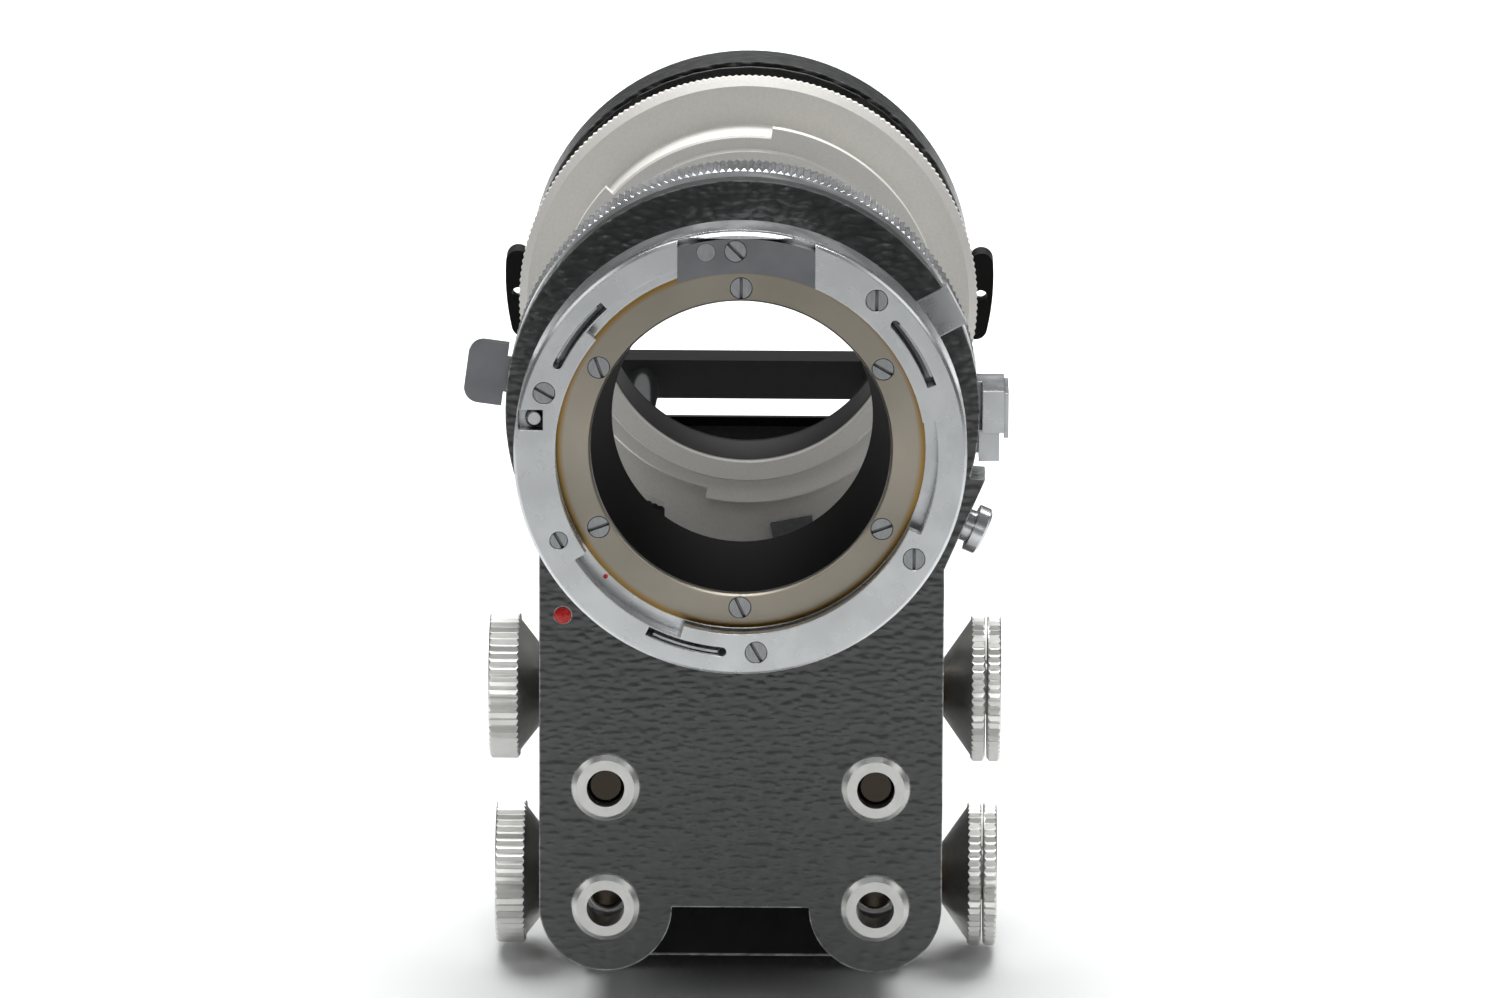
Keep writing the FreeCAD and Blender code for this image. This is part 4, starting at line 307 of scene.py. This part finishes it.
# Inlaid segment and release lever
# Blued steel, darker than the chrome round it, with a faint cloud in its tone.
blued_steel, shader = new_finish("blued_steel", Metallic=1.0, Roughness=0.3)
where = add(blued_steel, "TexCoord").outputs["Object"]
bluing = add(blued_steel, "TexNoise", {"Vector": where, "Scale": 220, "Detail": 4})
tone = add(blued_steel, "Mix", {0: bluing.outputs[0], 6: linear("8C8E91"), 7: linear("727477")},
           data_type="RGBA")
join(blued_steel, tone.outputs[2], shader, "Base Color")
dress(blued_steel, "flange_insert", "release_lever")


# Throat ring
# Turned nickel silver with a warm tone, yellowed like old brass at its outer edge. The
# turning draws its glints out across the rings.
YELLOW_FROM, YELLOW_FULL = 0.0252, 0.0260
aged_nickel, shader = new_finish("aged_nickel", Metallic=1.0, Roughness=0.34, Anisotropic=0.8)
round_axis = add(aged_nickel, "Tangent", direction_type="RADIAL", axis="Y")
join(aged_nickel, round_axis.outputs[0], shader, "Tangent")
where = add(aged_nickel, "TexCoord").outputs["Object"]
radius = axis_radius(aged_nickel, where)
marks = turning_marks(aged_nickel, radius, spacing=0.0003, depth=0.00003)
clouds = add(aged_nickel, "TexNoise", {"Vector": where, "Scale": 90, "Detail": 5})
warm = add(aged_nickel, "Mix", {0: clouds.outputs[0], 6: linear("AEA79B"), 7: linear("958E81")},
           data_type="RGBA")
yellowed = add(aged_nickel, "MapRange", {
    "Value": radius, "From Min": YELLOW_FROM, "From Max": YELLOW_FULL})
tone = add(aged_nickel, "Mix", {0: yellowed.outputs[0], 6: warm.outputs[2], 7: linear("9A7A3E")},
           data_type="RGBA")
# Painted shade: the colour darkens down in the ring's gaps and corners.
join(aged_nickel, paint_shade_in_gaps(aged_nickel, 0.003, tone), shader, "Base Color")
join(aged_nickel, marks, shader, "Normal")
dress(aged_nickel, "throat_ring")


# Knobs, lock rings and bushes
# Turned aluminium with a satin, faintly frosted surface.
satin_aluminium, shader = new_finish("satin_aluminium", Metallic=1.0, Roughness=0.36)
where = add(satin_aluminium, "TexCoord").outputs["Object"]
frost = add(satin_aluminium, "TexNoise", {"Vector": where, "Scale": 500, "Detail": 4})
tone = add(satin_aluminium, "Mix", {0: frost.outputs[0], 6: linear("E2E2DF"), 7: linear("CACAC6")},
           data_type="RGBA")
join(satin_aluminium, tone.outputs[2], shader, "Base Color")
bump = add(satin_aluminium, "Bump", {"Height": frost.outputs[0], "Strength": 0.1,
                                     "Distance": 0.00005})
join(satin_aluminium, bump.outputs[0], shader, "Normal")
dress(satin_aluminium, "plate_bushes", "block_bushes", "standard_bushes", "upper_knob_left",
      "upper_knob_right", "upper_lock_ring", "lower_knob_left", "lower_knob_right",
      "lower_lock_ring")


# Front frame of the bellows
# Bead-blasted aluminium, a warm even grey with a fine frosted grain. Its bore is lacquered
# black against stray light.
LACQUER_UP_TO, METAL_FROM = 0.02205, 0.0223
blasted_aluminium, shader = new_finish("blasted_aluminium", Roughness=0.6)
where = add(blasted_aluminium, "TexCoord").outputs["Object"]
radius = axis_radius(blasted_aluminium, where)
beads = add(blasted_aluminium, "TexNoise", {"Vector": where, "Scale": 2500, "Detail": 2})
frosted = add(blasted_aluminium, "Mix", {
    0: beads.outputs[0], 6: linear("DFDDD8"), 7: linear("CECCC7")}, data_type="RGBA")
bright = add(blasted_aluminium, "MapRange", {
    "Value": radius, "From Min": LACQUER_UP_TO, "From Max": METAL_FROM})
tone = add(blasted_aluminium, "Mix", {
    0: bright.outputs[0], 6: linear("0E0E0D"), 7: frosted.outputs[2]}, data_type="RGBA")
join(blasted_aluminium, tone.outputs[2], shader, "Base Color")
metal = add(blasted_aluminium, "MapRange", {
    "Value": radius, "From Min": LACQUER_UP_TO, "From Max": METAL_FROM, "To Max": 0.35})
join(blasted_aluminium, metal.outputs[0], shader, "Metallic")
bump = add(blasted_aluminium, "Bump", {"Height": beads.outputs[0], "Strength": 0.12,
                                       "Distance": 0.00004})
join(blasted_aluminium, bump.outputs[0], shader, "Normal")
dress(blasted_aluminium, "front_frame", "front_rim")


# Latch of the front frame
# A dull grey casting, darker than the turned face it stands on.
dull_casting, shader = new_finish("dull_casting", Roughness=0.7)
where = add(dull_casting, "TexCoord").outputs["Object"]
skin = add(dull_casting, "TexNoise", {"Vector": where, "Scale": 1200, "Detail": 3})
tone = add(dull_casting, "Mix", {0: skin.outputs[0], 6: linear("6E7072"), 7: linear("5A5C5E")},
           data_type="RGBA")
join(dull_casting, tone.outputs[2], shader, "Base Color")
dress(dull_casting, "frame_latch")


# Rods, shafts, caps, thumb screw and camera ring
# Ground and polished steel. The lower rods' sawn front ends are coloured dark brown as painted
# shade, standing in for the shade deep in their bushes.
SHADE_PAINTED_UP_TO, POLISHED_FROM = 0.0003, 0.0006
lower_rod_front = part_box("lower_rod_left")[0].y
ground_steel, shader = new_finish("ground_steel", Metallic=1.0, Roughness=0.14)
where = add(ground_steel, "TexCoord").outputs["Object"]
polish = add(ground_steel, "TexNoise", {"Vector": where, "Scale": 350, "Detail": 4})
polished = add(ground_steel, "Mix", {
    0: polish.outputs[0], 6: linear("DDDEDF"), 7: linear("C6C8CA")}, data_type="RGBA")
depth = add(ground_steel, "SeparateXYZ", {0: where}).outputs["Y"]
# Painted shade: the lower rods' front ends turn dark brown, in place of the shade down in their
# bushes.
painted_shade_end = add(ground_steel, "MapRange", {
    "Value": depth, "From Min": lower_rod_front + POLISHED_FROM,
    "From Max": lower_rod_front + SHADE_PAINTED_UP_TO})
tone = add(ground_steel, "Mix", {
    0: painted_shade_end.outputs[0], 6: polished.outputs[2], 7: linear("3A352E")}, data_type="RGBA")
join(ground_steel, tone.outputs[2], shader, "Base Color")
dress(ground_steel, "upper_rod_left", "upper_rod_right", "lower_rod_left", "lower_rod_right",
      "upper_pinion", "lower_pinion", "upper_end_caps", "lower_end_caps", "thumb_screw",
      "camera_ring", "ring_retainer")


# Shaft bearings and tripod bush
# Turned bronze, browned where it isn't rubbed.
bronze, shader = new_finish("bronze", Metallic=1.0, Roughness=0.35)
where = add(bronze, "TexCoord").outputs["Object"]
browning = add(bronze, "TexNoise", {"Vector": where, "Scale": 300, "Detail": 4})
tone = add(bronze, "Mix", {0: browning.outputs[0], 6: linear("C19A5B"), 7: linear("8F6B3A")},
           data_type="RGBA")
join(bronze, tone.outputs[2], shader, "Base Color")
dress(bronze, "shaft_bearings", "tripod_bush")


# Lens index
# A glossy bead of red enamel, set in the lens plate.
red_enamel, shader = new_finish("red_enamel", Roughness=0.18, IOR=1.5)
where = add(red_enamel, "TexCoord").outputs["Object"]
depth_of_red = add(red_enamel, "TexNoise", {"Vector": where, "Scale": 700, "Detail": 2})
tone = add(red_enamel, "Mix", {
    0: depth_of_red.outputs[0], 6: linear("D8231E"), 7: linear("A81512")}, data_type="RGBA")
join(red_enamel, tone.outputs[2], shader, "Base Color")
dress(red_enamel, "lens_index_bead")


# Red dot in the flange
# A drop of the same enamel on the floor of the lower left lug cut, round and low.
DOT_RADIUS = 0.00036
DOT_HEIGHT = 0.00014
DOT_FROM_AXIS = 0.0269
DOT_ANGLE = math.radians(224.5)
FLOOR_DEPTH = 0.0040
DOT_RINGS = 8
DOT_SIDES = 32
dot_at = Vector((DOT_FROM_AXIS * math.cos(DOT_ANGLE), FLANGE_FACE + FLOOR_DEPTH,
                 AXIS_HEIGHT + DOT_FROM_AXIS * math.sin(DOT_ANGLE)))
mesh = bpy.data.meshes.new("enamel_dot")
drop = bmesh.new()
# The profile starts one step below the floor, so that the drop's rim is sunk in it.
profile = []
for i in range(-1, DOT_RINGS + 1):
    t = math.pi / 2 * i / DOT_RINGS
    outline = Vector((DOT_RADIUS * math.cos(t), -DOT_HEIGHT * math.sin(t), 0))
    profile.append(drop.verts.new(dot_at + outline))
edges = [drop.edges.new(pair) for pair in zip(profile, profile[1:])]
bmesh.ops.spin(drop, geom=profile + edges, cent=dot_at, axis=(0, 1, 0), angle=2 * math.pi,
               steps=DOT_SIDES)
bmesh.ops.remove_doubles(drop, verts=drop.verts, dist=1e-7)
bmesh.ops.recalc_face_normals(drop, faces=drop.faces)
drop.to_mesh(mesh)
drop.free()
mesh.materials.append(red_enamel)
enamel_dot = bpy.data.objects.new("enamel_dot", mesh)
bpy.context.scene.collection.objects.link(enamel_dot)
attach(enamel_dot, "lens_carriage")


# Bellows
# Black pleated cloth with a leathery face, folded flat between the front frame's plate
# and the camera standard. The pleats stand sharp at their outer edge, and a round cuff
# glues the last one to the standard's head, so that no light gets in.
FOLDS = 8
CLOTH = 0.0005
fold_low, fold_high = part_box("bellows")
fold_centre = (fold_low + fold_high) / 2
half_outside = (fold_high.x - fold_low.x) / 2
TUCK = 0.0055
CORNER = 0.0110
CORNER_TUCK = 0.4
CUFF_RIM = 0.0004
CUFF_STEPS = 48
FOLD_ROUNDING = 0.00015
PEBBLE = 0.0006


def eight_sides(half, corner, y):
    """The corners of a square with bevelled corners, upright, at a depth y."""
    flat = half - corner
    pairs = ((half, -flat), (half, flat), (flat, half), (-flat, half),
             (-half, flat), (-half, -flat), (-flat, -half), (flat, -half))
    return [Vector((fold_centre.x + x, y, fold_centre.z + z)) for x, z in pairs]


mesh = bpy.data.meshes.new("pleated_bellows")
cloth = bmesh.new()
rings = []
for i in range(2 * FOLDS + 1):
    y = fold_low.y + CLOTH + (fold_high.y - fold_low.y - 2 * CLOTH) * i / (2 * FOLDS)
    inward = TUCK if i % 2 == 0 else 0
    half = half_outside - CLOTH / 2 - inward
    corner = CORNER - CORNER_TUCK * inward
    rings.append([cloth.verts.new(p) for p in eight_sides(half, corner, y)])
for front, back in zip(rings, rings[1:]):
    for j in range(8):
        k = (j + 1) % 8
        cloth.faces.new((front[j], front[k], back[k], back[j]))
head_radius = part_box("camera_standard")[1].z - fold_centre.z
cuff = []
for i in range(CUFF_STEPS):
    t = 2 * math.pi * i / CUFF_STEPS
    reach = head_radius - CUFF_RIM
    cuff.append(cloth.verts.new((fold_centre.x + reach * math.cos(t), fold_high.y - CLOTH,
                                 fold_centre.z + reach * math.sin(t))))
rim = [cloth.edges.new(pair) for pair in zip(cuff, cuff[1:] + cuff[:1])]
inner = [cloth.edges.get(pair) for pair in zip(rings[-1], rings[-1][1:] + rings[-1][:1])]
bmesh.ops.triangle_fill(cloth, use_beauty=True, edges=rim + inner, normal=(0, 1, 0))
bmesh.ops.recalc_face_normals(cloth, faces=cloth.faces)
cloth.to_mesh(mesh)
cloth.free()
pleats = bpy.data.objects.new("pleated_bellows", mesh)
bpy.context.scene.collection.objects.link(pleats)
wall = pleats.modifiers.new("wall", "SOLIDIFY")
wall.thickness = CLOTH
wall.offset = 0
soft = pleats.modifiers.new("soft_folds", "BEVEL")
soft.width = FOLD_ROUNDING
soft.segments = 2
soft.limit_method = "ANGLE"
deselect()
pleats.select_set(True)
bpy.context.view_layer.objects.active = pleats
bpy.ops.object.modifier_apply(modifier="wall")
bpy.ops.object.modifier_apply(modifier="soft_folds")
leathercloth, shader = new_finish("leathercloth", Roughness=0.55)
where = add(leathercloth, "TexCoord").outputs["Object"]
pebbles = add(leathercloth, "TexVoronoi", {"Vector": where, "Scale": 1 / PEBBLE})
tone = add(leathercloth, "Mix", {
    0: pebbles.outputs["Distance"], 6: linear("101010"), 7: linear("1F1F1E")},
    data_type="RGBA")
join(leathercloth, tone.outputs[2], shader, "Base Color")
bump = add(leathercloth, "Bump", {"Height": pebbles.outputs["Distance"], "Strength": 0.4,
                                  "Distance": 0.0001})
join(leathercloth, bump.outputs[0], shader, "Normal")
pleats.data.materials.append(leathercloth)
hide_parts("bellows")
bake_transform(pleats)
